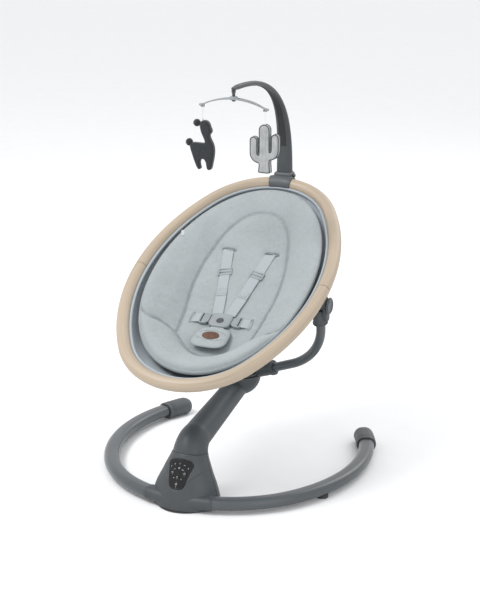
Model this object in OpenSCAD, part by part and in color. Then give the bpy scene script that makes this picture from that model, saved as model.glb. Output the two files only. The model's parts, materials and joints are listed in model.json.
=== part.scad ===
// Motorised baby swing: an open ring base with a drive housing, a swinging arm, a swivelling
// yoke, a reclining oval seat and a toy arm with a mobile. Origin: centre of the housing's foot
// on the floor. +Z up, +Y towards the back, millimetres.

/* [Base] */
// Overall width of the base ring
base_w = 615; // [540:5:740]
// Overall depth of the oval that the base ring follows
base_len = 680; // [580:5:820]
// Width of the flat-oval base tube
base_tube_w = 36; // [31:1:43]
// Height of the flat-oval base tube
base_tube_h = 26; // [22:1:30]
// Wall of the base tube
base_tube_wall = 2; // [1.5:0.1:2.5]
// Gap between the floor and the underside of the base tube
tube_lift = 8; // [6:1:10]
// Angle from the front at which the base tube ends
tube_end_angle = 118; // [105:1:125]
// Rubber around the tube in an end cap
cap_wall = 5; // [3:0.5:6]

/* [Drive housing] */
// Width of the housing at its foot
housing_w = 154; // [140:2:180]
// Depth of the housing at its foot
housing_len = 126; // [116:2:150]
// Height of the housing's neck above the floor, along the swing axis
neck_h = 112; // [104:1:134]
// Diameter of the neck, where the arm meets the housing
neck_d = 76; // [72:1:90]
// Wall of the housing and arm covers
cover_wall = 3; // [2:0.5:3.5]
// Lean of the swing axis towards the back, in degrees
swing_lean = 12; // [8:1:15]
// Width of the control panel at its top
panel_w = 56; // [50:1:60]
// Height of the control panel
panel_h = 66; // [60:1:72]
// Diameter of a round push button
button_d = 10; // [8:0.5:11]
// Diameter of the swing spindle
spindle_d = 16; // [12:1:19]

/* [Swing arm] */
// Distance from the housing to the hub under the seat
hub_y = 284; // [236:2:341]
// Rise of the arm above the horizontal, in degrees
arm_rise = 11.6; // [8:0.2:16]
// Diameter of the arm where it meets the hub
arm_end_d = 52; // [44:1:60]
// Radius of the round hub
hub_r = 48; // [46:1:58]
// Diameter of the hub pin that the seat turns on
hub_pin_d = 16; // [12:1:18]

/* [Yoke] */
// Diameter of the yoke tube
yoke_d = 21; // [18:0.5:24]
// Wall of the yoke tube
yoke_wall = 1.8; // [1:0.1:2.5]
// Bend radius of the yoke tube
yoke_bend = 130; // [100:5:150]
// Slope of the yoke tube where it leaves the bracket, in degrees
yoke_slope = 22; // [16:1:26]

/* [Seat ring] */
// Overall length of the oval seat ring
ring_len = 689; // [575:5:760]
// Overall width of the oval seat ring
ring_w = 473; // [440:5:520]
// Diameter of the ring tube
ring_d = 29; // [26:1:32]
// Wall of the ring tube
ring_wall = 2.2; // [1.5:0.1:3]
// Height of the ring's centre above the floor
ring_z = 445; // [430:5:520]
// Lean of the ring, head end up, in degrees
ring_tilt = 27.5; // [20:0.5:30]
// Depth of the fabric bowl below the ring
bowl_depth = 108; // [90:2:125]
// Depth of the cushion's upper face below the ring
pad_depth = 66; // [55:1:78]
// Thickness of the seat cushion near its edge
pad_t = 18; // [12:1:24]

/* [Harness] */
// Width of the harness webbing
web_w = 25; // [20:1:30]
// Thickness of the harness webbing
web_t = 1.6; // [1.2:0.1:2]
// Distance between the shoulder slots, centre to centre
slot_gap = 106; // [96:2:126]

/* [Toy arm] */
// Height of the toy arm above its socket
toy_arm_h = 239; // [200:1:280]
// Reach of the toy arm over the seat
toy_arm_reach = 294; // [244:1:340]
// Length of the mobile's crossbar
crossbar_len = 162; // [140:2:200]
// Visible length of a toy's string
string_len = 31; // [30:1:40]
// Height of a hanging toy
toy_h = 112; // [94:1:134]

/* [Hidden] */

$fn = 64;
fit = 0.15;      // gap between pieces that sit still in each other
run = 0.05;      // radial gap of a running fit
gap = 0.6;       // gap between pieces that move past each other
eps = 0.01;
charcoal = "#4a4f52";
rubber = "#55595b";
wood = "#cdb99f";
cloth = "#a9b2b6";
dark = "#1b1d1f";
steel = "silver";

// ---- General shapes ----------------------------------------------------------------------

function mix(a, b, t) = a * (1 - t) + b * t;

// A flat oval of width w and height h
module obround(w, h) {
  square([w - h + eps, h], center = true);
  for (s = [-1, 1]) translate([s * (w - h) / 2, 0]) circle(d = h, $fn = 48);
}

// The two triangles of each cell of a grid of m points by n rows, numbered from first
function cells(m, n, wrap, first = 0, flip = false) = [
  for (i = [0:n - 2], k = [0:m - (wrap ? 1 : 2)])
    let (a = first + i * m + k, b = first + i * m + (k + 1) % m, c = b + m, d = a + m)
      each (flip ? [[a, b, c], [a, c, d]] : [[a, c, b], [a, d, c]])
];

// The two triangles of each cell between a row of outer points and a row of inner points
function rims(outer, inner, n, wrap, flip) = [
  for (k = [0:n - (wrap ? 1 : 2)])
    let (a = outer[k], b = outer[(k + 1) % n], c = inner[(k + 1) % n], d = inner[k])
      each (flip ? [[a, b, c], [a, c, d]] : [[a, c, b], [a, d, c]])
];

// A closed solid through rings of points, each ring in the same order
module loft(rings) {
  m = len(rings[0]);
  n = len(rings);
  polyhedron(
    points = [for (r = rings) each r],
    faces = concat(cells(m, n, true), [[for (k = [0:m - 1]) k]],
      [[for (k = [m - 1:-1:0]) (n - 1) * m + k]])
  );
}

// A shell between an outer and an inner grid of points: a tube if wrap, else an open half
module skin(outer, inner, wrap) {
  m = len(outer[0]);
  n = len(outer);
  second = m * n;
  start = [for (k = [0:m - 1]) k];
  end = [for (k = [0:m - 1]) (n - 1) * m + k];
  left = [for (i = [0:n - 1]) i * m];
  right = [for (i = [0:n - 1]) i * m + m - 1];
  sides = wrap ? [] : concat(
    rims(left, left + [for (i = left) second], n, false, false),
    rims(right, right + [for (i = right) second], n, false, true));
  polyhedron(
    points = concat([for (r = outer) each r], [for (r = inner) each r]),
    faces = concat(cells(m, n, wrap), cells(m, n, wrap, second, true),
      rims(start, start + [for (i = start) second], m, wrap, true),
      rims(end, end + [for (i = end) second], m, wrap, false), sides)
  );
}

// A four-arc oval of half-width a and half-length b, whose ends have radius r
function side_radius(a, b, r) = (a * a + (b - r) * (b - r) - r * r) / (2 * (a - r));
function join_angle(a, b, r) = atan2(side_radius(a, b, r) - a, b - r);

// Sweeps a section round part of a circle in the XY plane, from angle a0 to a1 about +Z
module sweep_arc(radius, a0, a1) {
  rotate([0, 0, a0]) rotate_extrude(angle = a1 - a0, $fn = 80) translate([radius, 0]) children();
}

// Points round a flat oval (a circle if w is h), ordered for a tube that is swept away
function oval_ring(w, h, m) = [for (k = [0:m - 1]) let (a = -360 * (k + 0.5) / m)
  [(cos(a) > 0 ? 1 : -1) * (w - h) / 2 + h / 2 * cos(a), h / 2 * sin(a)]];

// A hollow tube along rows of [centre, outward direction, up direction]
module swept_tube(rows, w, h, wall, m) {
  outer = oval_ring(w, h, m);
  inner = oval_ring(w - 2 * wall, h - 2 * wall, m);
  skin([for (r = rows) [for (q = outer) r[0] + q[0] * r[1] + q[1] * r[2]]],
    [for (r = rows) [for (q = inner) r[0] + q[0] * r[1] + q[1] * r[2]]], true);
}

module both() {
  for (s = [0, 1]) mirror([s, 0, 0]) children();
}

// ---- Base --------------------------------------------------------------------------------

base_a = (base_w - base_tube_w) / 2;
base_b = (base_len - base_tube_w) / 2;
base_r = base_a * 0.95;
base_y = hub_y;
tube_z = tube_lift + base_tube_h / 2;
base_side_r = side_radius(base_a, base_b, base_r);
base_join = join_angle(base_a, base_b, base_r);
front_y = base_y - base_b + base_r;
tube_start = asin(housing_w * 0.2 / base_r);
foot_angle = 67;

// The base tube's path on the right, from angle a0 to a1 measured from the front
module base_sweep(a0, a1) {
  if (a0 < base_join) translate([0, front_y, tube_z])
    sweep_arc(base_r, a0 - 90, min(a1, base_join) - 90) children();
  if (a1 > base_join) translate([base_a - base_side_r, base_y, tube_z])
    sweep_arc(base_side_r, max(a0, base_join) - 90, a1 - 90) children();
}

function base_point(angle, z) = angle < base_join
  ? [base_r * sin(angle), front_y - base_r * cos(angle), z]
  : [base_a - base_side_r + base_side_r * sin(angle), base_y - base_side_r * cos(angle), z];

base_rows = [for (i = [0:30]) let (a = mix(tube_start, tube_end_angle, i / 30))
  [base_point(a, tube_z), [sin(a), -cos(a), 0], [0, 0, 1]]];
module base_tube() {
  color(charcoal) swept_tube(base_rows, base_tube_w, base_tube_h, base_tube_wall, 20);
}
module base_tube_right() base_tube();
module base_tube_left() mirror([1, 0, 0]) base_tube();

cap_overlap = 6;   // degrees of tube inside an end cap
cap_beyond = 3.2;  // degrees from the tube's end to the cap's round end
cap_h = 2 * tube_z - 4;
cap_w = base_tube_w + 2 * cap_wall;

// One ring of points across the base tube's path, at an angle and a height
function path_ring(angle, z, beyond, w, h) = [
  for (q = oval_ring(w, h, 24)) base_point(angle, z) + beyond * [cos(angle), sin(angle), 0]
    + q[0] * [sin(angle), -cos(angle), 0] + [0, 0, q[1]]
];

// The cap's hole, from its bottom to its mouth, and then its outside, from mouth to round end
module end_cap() {
  mouth = tube_end_angle - cap_overlap;
  color(rubber) loft(concat(
    [for (a = [tube_end_angle, tube_end_angle - cap_overlap / 2, mouth])
      path_ring(a, tube_z, 0, base_tube_w + 2 * fit, base_tube_h + 2 * fit)],
    [for (i = [0:4]) let (a = mix(mouth, tube_end_angle + cap_beyond, i / 4))
      path_ring(a, cap_h / 2, 0, cap_w, cap_h)],
    [for (turn = [20, 40, 57, 70, 80]) path_ring(tube_end_angle + cap_beyond, cap_h / 2,
      cap_w * 0.42 * sin(turn), cap_w * cos(turn), cap_h * pow(cos(turn), 0.8))]
  ));
}
module end_cap_right() end_cap();
module end_cap_left() mirror([1, 0, 0]) end_cap();

// The round feet under the tubes, and the pad under the housing
module rubber_feet() {
  color(dark) {
    both() translate(base_point(foot_angle, 0)) cylinder(d = 26, h = tube_lift);
    cylinder(d = housing_len * 0.92, h = pad_h);
  }
}

// ---- Drive housing -----------------------------------------------------------------------

pad_h = 2;
chassis_t = 3;
// How far the housing spreads from the neck to the foot, at shares of its height
housing_shares = [
  [0, 0.93], [0.05, 1], [0.16, 0.97], [0.4, 0.76], [0.62, 0.47], [0.76, 0.3], [0.88, 0.14], [1, 0]
];
function half_w(t) = mix(neck_d, housing_w, lookup(t, housing_shares)) / 2;
function half_len(t) = mix(neck_d, housing_len, lookup(t, housing_shares)) / 2;

module on_axis() {
  rotate([-swing_lean, 0, 0]) children();
}

// A point on the housing: share t up the axis, angle about it, moved in by inset
function housing_point(t, angle, inset) =
  let (h = pad_h + t * (neck_h - 0.5 - pad_h), lean = swing_lean * t,
       x = (half_w(t) - inset) * cos(angle), y = (half_len(t) - inset) * sin(angle))
    [x, h * sin(lean) + y * cos(lean), h * cos(lean) - y * sin(lean)];

function housing_grid(inset, angles) =
  [for (r = housing_shares) [for (a = angles) housing_point(r[0], a, inset)]];

module housing_solid(inset) {
  loft(housing_grid(inset, [for (k = [0:47]) k * 7.5]));
}

module housing_cover(a0, a1) {
  steps = 24;
  angles = [for (k = [0:steps]) mix(a0, a1, k / steps)];
  skin(housing_grid(0, angles), housing_grid(cover_wall, angles), false);
}

// Outside of the sleeves that hold the base tubes
socket_w = base_tube_w + 2.4;
socket_h = 2 * (tube_z - pad_h - chassis_t);

// Openings where the base tubes come through the covers
module tube_holes() {
  both() base_sweep(tube_start - 1, tube_start + 24)
    obround(socket_w + 0.6, socket_h + 0.6);
}

// The control panel's outline, seen from the front: wide at the top, round at the bottom
module panel_outline(grow) {
  offset(r = grow) hull() {
    for (s = [-1, 1]) translate([s * (panel_w / 2 - 9), panel_h / 2 - 11]) circle(9, $fn = 24);
    translate([0, panel_h / 2 - 9]) circle(9, $fn = 24);
    for (s = [-1, 1]) translate([s * 6, 12 - panel_h / 2]) circle(12, $fn = 24);
  }
}

// Moves to the middle of the panel, with +Z out of the panel and +Y up along it
panel_share = 0.65;
panel_mid = housing_point(panel_share, -90, 0);
panel_run = housing_point(0.8, -90, 0) - housing_point(0.4, -90, 0);
panel_lean = atan2(panel_run[1], panel_run[2]);
module at_panel() {
  translate(panel_mid) rotate([90 - panel_lean, 0, 0]) children();
}

module panel_prism(grow) {
  at_panel() translate([0, 0, -20]) linear_extrude(60) panel_outline(grow);
}

// Places on the panel, x and height from its middle, and how far its face curves back there
panel_buttons = [[0, -21], [-14, 3], [14, 3], [0, -6]];
panel_lights = concat(
  [for (x = [-20:10:20]) [x, 24 - x * x * 0.012]],
  [for (x = [-7, 7]) [x, 14]]
);
function panel_curve(p) = p[0] * p[0] / housing_w / 0.75 + max(0, -p[1] - 16) * 0.08;
button_travel = 0.8;
button_proud = 1.3;
button_len = 8;

module button(i) {
  p = panel_buttons[i];
  at_panel() translate([p[0], p[1], button_proud - panel_curve(p) - button_len])
    cylinder(d = button_d, h = button_len);
}

module button_holes() {
  for (p = panel_buttons) at_panel() translate([p[0], p[1], -20])
    cylinder(d = button_d + 0.7, h = 40);
}

module light_rods(r) {
  for (p = panel_lights) at_panel() translate([p[0], p[1], -20]) cylinder(r = r, h = 40, $fn = 16);
}

module control_panel() {
  color(dark) difference() {
    intersection() {
      panel_prism(0);
      difference() {
        housing_solid(-0.5);
        housing_solid(cover_wall - 1);
      }
    }
    button_holes();
    light_rods(1.35);
  }
}

module indicator_lights() {
  color("white") intersection() {
    light_rods(1.25);
    difference() {
      housing_solid(-0.7);
      housing_solid(cover_wall - 1);
    }
  }
}

module housing_front() {
  color(charcoal) difference() {
    housing_cover(180 + 6, 360 - 6);
    difference() {
      panel_prism(0.25);
      housing_solid(cover_wall - 0.9);
    }
    tube_holes();
    button_holes();
  }
}

speaker_r = 18;
inlet_x = 38;
inlet_z = 26;

module housing_rear() {
  color(charcoal) difference() {
    housing_cover(-5.7, 180 + 5.7);
    tube_holes();
    for (row = [-2:2], col = [-2:2]) if (row * row + col * col < 7)
      translate([col * 6, 30, 58 + row * 6]) rotate([-90, 0, 0]) cylinder(d = 3, h = 60, $fn = 16);
    translate([inlet_x, 20, inlet_z]) rotate([-90, 0, 0]) cylinder(d = 12 + 2 * fit, h = 60);
  }
}

module power_button() color(dark) button(0);
module speed_button() color(dark) button(1);
module timer_button() color(dark) button(2);
module music_button() color(dark) button(3);

module chassis() {
  color(dark) translate([0, 0, pad_h]) linear_extrude(chassis_t)
    scale([2 * half_w(0) - 2 * cover_wall - 1, 2 * half_len(0) - 2 * cover_wall - 1])
      circle(d = 1);
}

// Sleeves on the chassis that hold the inner ends of the base tubes
module tube_sockets() {
  color(dark) both() swept_tube(
    [for (a = [0, 2, 4]) let (b = tube_start + a) [base_point(b, tube_z), [sin(b), -cos(b), 0], [0, 0, 1]]],
    socket_w, socket_h, 1.2 - fit, 24);
}

board_z = -16;  // behind the panel's face
module circuit_board() {
  color("#2f5d3a") at_panel() {
    translate([-20, -24, board_z]) cube([40, 48, 1.6]);
    for (p = panel_buttons)
      translate([p[0] - 3, p[1] - 3, board_z + 1.6]) cube([6, 6, 5]);
    translate([-14, 13, board_z + 1.6]) cube([28, 6, 2.5]);
  }
}

module speaker() {
  color(dark) translate([0, housing_len / 2 - 16, 58]) rotate([90, 0, 0])
    union() {
      cylinder(r = speaker_r, h = 5);
      cylinder(r = speaker_r * 0.55, h = 9);
    }
}

module power_inlet() {
  color(dark) translate([inlet_x, 0, inlet_z]) rotate([-90, 0, 0]) difference() {
    translate([0, 0, housing_len * 0.27]) cylinder(d = 12, h = housing_len * 0.1);
    translate([0, 0, housing_len * 0.29]) cylinder(d = 5.6, h = 30);
  }
}

// ---- Swing spindle and drive -------------------------------------------------------------

spindle_low = 34;
lever_h = 40;
bearing_h = 9;
bearing_r = spindle_d / 2 + 8;
low_bearing = 51;
carrier_r = bearing_r + 3.5;
carrier_top = neck_h - 5;
high_bearing = carrier_top - bearing_h - 1;
coil_y = housing_len * 0.32;

module drive_coil() {
  color("#b87333") translate([0, coil_y, pad_h + chassis_t]) difference() {
    cylinder(r = 16, h = 8);
    translate([0, 0, -1]) cylinder(r = 7, h = 10);
  }
}

module spindle_carrier() {
  color(dark) difference() {
    union() {
      on_axis() translate([0, 0, 46]) {
        cylinder(r = carrier_r, h = carrier_top - 46);
        cylinder(r = 32, h = 4);
      }
      for (p = [[-25, 24], [25, 24], [0, -20]]) difference() {
        translate([p[0], p[1], pad_h + chassis_t]) cylinder(r = 4, h = 60);
        on_axis() translate([-60, -60, 47]) cube(120);
      }
    }
    on_axis() translate([0, 0, 40]) cylinder(r = bearing_r + fit, h = neck_h);
  }
}

module spindle_bearings() {
  color(steel) on_axis() for (h = [low_bearing, high_bearing]) translate([0, 0, h]) difference() {
    cylinder(r = bearing_r, h = bearing_h);
    translate([0, 0, -1]) cylinder(r = spindle_d / 2 + run, h = bearing_h + 2);
  }
}

module spindle() {
  color(steel) on_axis() translate([0, 0, spindle_low])
    cylinder(d = spindle_d, h = neck_h + 14 - spindle_low);
}

module drive_lever() {
  color(dark) on_axis() translate([0, 0, lever_h]) difference() {
    union() {
      cylinder(r = spindle_d / 2 + 4, h = 6 - eps);
      translate([-7, 0, 0]) cube([14, coil_y - 3, 6]);
      translate([0, coil_y - 3, 0]) cylinder(r = 10, h = 6);
    }
    translate([0, 0, -1]) cylinder(r = spindle_d / 2 + fit, h = 8);
  }
}

module drive_magnet() {
  color(steel) on_axis() translate([0, coil_y - 3, lever_h - 7]) cylinder(r = 9, h = 7);
}

// ---- Swing arm ---------------------------------------------------------------------------

neck = [0, neck_h * sin(swing_lean), neck_h * cos(swing_lean)];
bend_r = neck_d / 2 + 2.6;
// The line behind the neck that the arm bends about
elbow = neck + bend_r * [0, cos(swing_lean), -sin(swing_lean)];
bend_turn = 90 - swing_lean - arm_rise;
elbow_in = 6.5;  // how much nearer the elbow the arm's centre is after the bend
after = elbow + (bend_r - elbow_in) * [0, -sin(arm_rise), cos(arm_rise)];
arm_len = (hub_y - after[1]) / cos(arm_rise);
hub_z = after[2] + arm_len * sin(arm_rise) + 20;

// Each row of the arm: its centre, the direction of its section's up, and its radius
function arm_rows() = concat(
  [for (i = [0:7]) let (t = i / 7, turn = swing_lean + t * bend_turn, r = bend_r - elbow_in * t)
    [elbow + r * [0, -cos(turn), sin(turn)], [0, -cos(turn), sin(turn)], neck_d / 2 - 6 * t]],
  [for (i = [1:6]) let (t = i / 6)
    [after + t * arm_len * [0, cos(arm_rise), sin(arm_rise)],
      [0, -sin(arm_rise), cos(arm_rise)], mix(neck_d / 2 - 6, arm_end_d / 2, t)]]
);

function arm_grid(inset, angles) = [
  for (row = arm_rows()) [for (a = angles)
    row[0] + (row[2] - inset) * (cos(a) * [1, 0, 0] + sin(a) * row[1])]
];

module arm_cover(a0, a1) {
  steps = 16;
  angles = [for (k = [0:steps]) mix(a1, a0, k / steps)];
  difference() {
    skin(arm_grid(0, angles), arm_grid(cover_wall, angles), false);
    hub_shape(fit);
    translate([0, hub_y, hub_z]) cylinder(r = hub_r + fit, h = hub_r);
  }
}
module arm_cover_upper() color(charcoal) arm_cover(0.3, 179.7);
module arm_cover_lower() color(charcoal) arm_cover(-179.7, -0.3);

module arm_root() {
  color(dark) on_axis() translate([0, 0, neck_h + 1]) difference() {
    cylinder(r = neck_d / 2 - cover_wall - 2.5, h = 9);
    translate([0, 0, -1]) cylinder(r = spindle_d / 2 + fit, h = 12);
  }
}

// ---- Hub ---------------------------------------------------------------------------------

hub_rim = 4;
// A half bowl of radius r with an upright rim of height top
module bowl_solid(r, top) {
  rotate_extrude($fn = 96) polygon(concat([[0, top]], [[0, -r]],
    [for (k = [1:15]) [r * sin(k * 6), -r * cos(k * 6)]], [[r, top]]));
}
module hub_shape(grow) {
  translate([0, hub_y, hub_z]) bowl_solid(hub_r + grow, hub_rim);
}

pin_top = hub_z + hub_rim + 26;
pin_low = hub_z - hub_r + 12;
module hub_bowl() {
  color(charcoal) difference() {
    union() {
      difference() {
        hub_shape(0);
        translate([0, hub_y, hub_z]) bowl_solid(hub_r - 4, hub_rim + 1);
      }
      translate([0, hub_y, hub_z - hub_r + 2]) cylinder(r = hub_pin_d / 2 + 6, h = hub_r - 3);
    }
    translate([0, hub_y, pin_low]) cylinder(d = hub_pin_d + 2 * fit, h = hub_r);
  }
}

module hub_pin() {
  color(steel) translate([0, hub_y, pin_low]) cylinder(d = hub_pin_d, h = pin_top - pin_low);
}

module thrust_washer() {
  color(steel) translate([0, hub_y, hub_z - 1]) difference() {
    cylinder(r = hub_pin_d / 2 + 10, h = hub_rim + 1.65);
    translate([0, 0, -1]) cylinder(r = hub_pin_d / 2 + run, h = 10);
  }
}

// ---- Turntable and yoke ------------------------------------------------------------------

table_z = hub_z + hub_rim + 1;
table_t = 8;
module turntable() {
  color(charcoal) translate([0, hub_y, table_z]) difference() {
    cylinder(r = hub_r, h = table_t);
    translate([0, 0, -1]) cylinder(r = hub_pin_d / 2 + run, h = table_t + 2);
  }
}

module hub_nut() {
  color(steel) translate([0, hub_y, table_z + table_t + 0.2]) difference() {
    cylinder(r = hub_pin_d / 2 + 5, h = 9, $fn = 6);
    translate([0, 0, -1]) cylinder(d = hub_pin_d, h = 12);
  }
}

ring_a = (ring_w - ring_d) / 2;
ring_b = (ring_len - ring_d) / 2;
ring_y = hub_y - 54;
pivot_u = -22;
pivot_w = -(ring_d / 2 + 11);
pivot_y = ring_y + pivot_u * cos(ring_tilt) - pivot_w * sin(ring_tilt);
pivot_z = ring_z + pivot_u * sin(ring_tilt) + pivot_w * cos(ring_tilt);
yoke_z = table_z + 12;
yoke_lean = atan2(hub_y - pivot_y, pivot_z - yoke_z);
pivot_s = norm([hub_y - pivot_y, pivot_z - yoke_z]);
yoke_x = ring_a - 8;
socket_out = 88;   // where the bracket's sleeves end
line_x = 60;
line_s = 2;
corner_s = line_s + (yoke_x - line_x) * tan(yoke_slope);
tangent = yoke_bend * tan((90 - yoke_slope) / 2);
bend_start = [yoke_x - tangent * cos(yoke_slope), corner_s - tangent * sin(yoke_slope)];
bend_end = [yoke_x, corner_s + tangent];

// The yoke's plane: local X across, local Y up along the yoke, from the hub's middle
module in_yoke() {
  translate([0, hub_y, yoke_z]) rotate([90 + yoke_lean, 0, 0]) children();
}

// The yoke's right side: a straight stretch, a bend and an upright
function yoke_row(x, y, turn) = [[x, y, 0], [sin(turn), -cos(turn), 0], [0, 0, 1]];
yoke_in = hub_r + 4;
yoke_rows = concat(
  [yoke_row(yoke_in, bend_start[1] - (bend_start[0] - yoke_in) * tan(yoke_slope), yoke_slope)],
  [for (i = [0:12]) let (turn = mix(yoke_slope, 90, i / 12))
    yoke_row(yoke_x - yoke_bend + yoke_bend * sin(turn), bend_end[1] - yoke_bend * cos(turn), turn)],
  [yoke_row(yoke_x, pivot_s - 22, 90)]
);

module yoke_tube() {
  color(charcoal) in_yoke() swept_tube(yoke_rows, yoke_d, yoke_d, yoke_wall, 18);
}
module yoke_tube_right() yoke_tube();
module yoke_tube_left() mirror([1, 0, 0]) yoke_tube();

module sleeve_rod(r, x0, x1) {
  translate([x0, line_s + (x0 - line_x) * tan(yoke_slope), 0])
    rotate([0, 0, yoke_slope]) rotate([0, 90, 0]) cylinder(r = r, h = (x1 - x0) / cos(yoke_slope));
}

latch_w = 18;
latch_travel = 4;
module yoke_bracket() {
  block_top = table_z + table_t + 30;
  color(charcoal) difference() {
    union() {
      translate([-46, hub_y - 21, table_z + table_t]) cube([92, 42, block_top - table_z - table_t]);
      in_yoke() both() sleeve_rod(yoke_d / 2 + 5, 40, socket_out);
      in_yoke() both() sleeve_rod(yoke_d / 2 + 7, socket_out - 8, socket_out);
    }
    translate([0, hub_y, 0]) cylinder(r = hub_r + gap, h = table_z + table_t);
    translate([0, hub_y, table_z]) cylinder(r = hub_pin_d / 2 + 6, h = block_top - table_z - 4);
    in_yoke() both() sleeve_rod(yoke_d / 2 + fit, hub_r + 3.5, socket_out + 10);
    translate([-latch_w / 2 - 0.4, hub_y - 30, table_z + table_t + 9]) cube([latch_w + 0.8, 20, 10.8]);
  }
}

module swivel_latch() {
  color(dark) translate([-latch_w / 2, hub_y - 27, table_z + table_t + 9.4]) cube([latch_w, 12, 10]);
}

head_in = yoke_x + 15;   // inner face of the outer ear
head_out = head_in + 6;
ear_r = 11.5;
pin_r = 5;
leg_at = 8.3;
socket_low = pivot_s - 48;
socket_top = pivot_s - ear_r;

module pivot_heads() {
  color(charcoal) in_yoke() both() difference() {
    union() {
      translate([yoke_x, socket_low, 0]) rotate([-90, 0, 0])
        cylinder(r = yoke_d / 2 + 5, h = socket_top - socket_low);
      translate([yoke_x, socket_low, 0]) rotate([-90, 0, 0]) cylinder(r = yoke_d / 2 + 6.5, h = 4);
      translate([yoke_x, pivot_s - 34, -ear_r])
        cube([head_out - yoke_x, socket_top - pivot_s + 34, 2 * ear_r]);
      translate([head_in, pivot_s - 34, -ear_r]) cube([head_out - head_in, 34, 2 * ear_r]);
      translate([head_in, pivot_s, 0]) rotate([0, 90, 0]) cylinder(r = ear_r, h = head_out - head_in);
    }
    translate([yoke_x, socket_low - 1, 0]) rotate([-90, 0, 0])
      cylinder(r = yoke_d / 2 + fit, h = 27.2);
    translate([head_in - 1, pivot_s, 0]) rotate([0, 90, 0]) cylinder(r = pin_r + run, h = 9);
    for (s = [-1, 1]) translate([head_in + 1, pivot_s + s * leg_at, 0]) rotate([0, 90, 0])
      cylinder(r = 1.8, h = 9);
  }
}

press_travel = 2.6;
module recline_button() {
  color(dark) in_yoke() {
    translate([head_out + 3, pivot_s, 0]) rotate([0, 90, 0]) rotate_extrude() {
      square([19, 3.5]);
      square([16.5, 5]);
    }
    for (s = [-1, 1]) translate([head_in + 4.4, pivot_s + s * leg_at, 0]) rotate([0, 90, 0])
      cylinder(r = 1.5, h = head_out - head_in);
  }
}
module recline_button_right() recline_button();
module recline_button_left() mirror([1, 0, 0]) recline_button();

// ---- Seat ring ---------------------------------------------------------------------------

ring_r = ring_a * 0.79;
ring_side_r = side_radius(ring_a, ring_b, ring_r);
ring_turn = 90 - join_angle(ring_a, ring_b, ring_r);   // where its side and end arcs meet

// The ring's own frame: local X across, local Y towards the head, local Z out of the seat
module in_seat() {
  translate([0, ring_y, ring_z]) rotate([ring_tilt, 0, 0]) children();
}

// A point of the ring where it faces the angle turn, measured from its right side
function ring_point(turn) = turn < ring_turn
  ? [ring_a - ring_side_r + ring_side_r * cos(turn), ring_side_r * sin(turn), 0]
  : turn > 180 - ring_turn
    ? [ring_side_r - ring_a + ring_side_r * cos(turn), ring_side_r * sin(turn), 0]
    : [ring_r * cos(turn), ring_b - ring_r + ring_r * sin(turn), 0];
ring_trim = 0.05;
ring_rows = [for (i = [0:42]) let (turn = mix(ring_trim, 180 - ring_trim, i / 42))
  [ring_point(turn), [cos(turn), sin(turn), 0], [0, 0, 1]]];

module ring_tube() {
  swept_tube(ring_rows, ring_d, ring_d, ring_wall, 20);
}
module ring_tube_head() color(wood) in_seat() ring_tube();
module ring_tube_foot() color(wood) in_seat() mirror([0, 1, 0]) ring_tube();

module ring_joiners() {
  color(dark) in_seat() both() translate([ring_a - ring_side_r, 0, 0])
    sweep_arc(ring_side_r, -4, 4) circle(d = ring_d - 2 * ring_wall - 2 * fit);
}

lug_r = 10.5;
lug_turn = asin(pivot_u / ring_side_r);
lug_ring_x = ring_a - ring_side_r + ring_side_r * cos(lug_turn);
module pivot_lugs() {
  color(charcoal) in_seat() both() {
    difference() {
      union() {
        translate([ring_a - 13, pivot_u, pivot_w]) rotate([0, 90, 0])
          cylinder(r = lug_r, h = head_in - 0.4 - ring_a + 13);
        translate([ring_a - 13, pivot_u - lug_r, pivot_w])
          cube([head_in - 0.4 - ring_a + 13, 2 * lug_r, -pivot_w - 6]);
      }
      translate([lug_ring_x, pivot_u, 0]) rotate([0, 0, lug_turn]) rotate([90, 0, 0])
        cylinder(r = ring_d / 2 + fit, h = 60, center = true);
    }
    translate([ring_a - 6, pivot_u, pivot_w]) rotate([0, 90, 0])
      cylinder(r = pin_r, h = head_out - ring_a + 5.5);
  }
}

// ---- Fabric ------------------------------------------------------------------------------

sling_t = 5;
bowl_u = -90;    // where the bowl is deepest, along the seat
rim_gap = 1;
bowl_angles = [for (k = [0:35]) -k * 10];
bowl_steps = [0.08, 0.25, 0.42, 0.58, 0.72, 0.84, 0.93, 1];

// A point of a bowl inside the ring: share r of the way out from its deepest point, angle a
// from the head end, inset from the sling's rim, drop deep, with its edge at height lift at
// the head and lower by dip at the foot, where it also stops short by the same amount
function bowl_point(r, a, inset, drop, lift, dip) =
  let (head = (1 + cos(a)) / 2, n = mix(2.6, 1, head * head), foot = (1 - head) * (1 - head),
       half_long = ring_b - ring_d / 2 - rim_gap - inset - dip * foot)
    [r * (ring_a - ring_d / 2 - rim_gap - inset) * sin(a), mix(bowl_u, half_long * cos(a), r),
     mix(-drop, 0, pow(r, n)) + (lift - dip * foot) * r];

function bowl_rings(inset, drop, lift, dip, out) = [
  for (i = [0:7]) let (r = bowl_steps[out ? i : 7 - i])
    [for (a = bowl_angles) bowl_point(r, a, inset, drop, lift, dip)]
];

// Height of the sling's or cushion's upper face at x and u
function bowl_height(x, u, inset, drop) =
  let (a = ring_a - ring_d / 2 - rim_gap - inset, b = ring_b - ring_d / 2 - rim_gap - inset,
       v = u - bowl_u, qa = 1 - bowl_u * bowl_u / b / b, qb = -2 * v * bowl_u / b / b,
       qc = -x * x / a / a - v * v / b / b, r = (-qb + sqrt(qb * qb - 4 * qa * qc)) / (2 * qa),
       head = (1 + (v + bowl_u * r) / (r * b)) / 2)
    mix(-drop, 0, pow(r, mix(2.6, 1, head * head)));

module seat_sling() {
  color(cloth) in_seat() loft(concat(
    bowl_rings(0, bowl_depth + sling_t, 0, 0, true),
    bowl_rings(sling_t, bowl_depth, 0, 0, false)));
}

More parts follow.
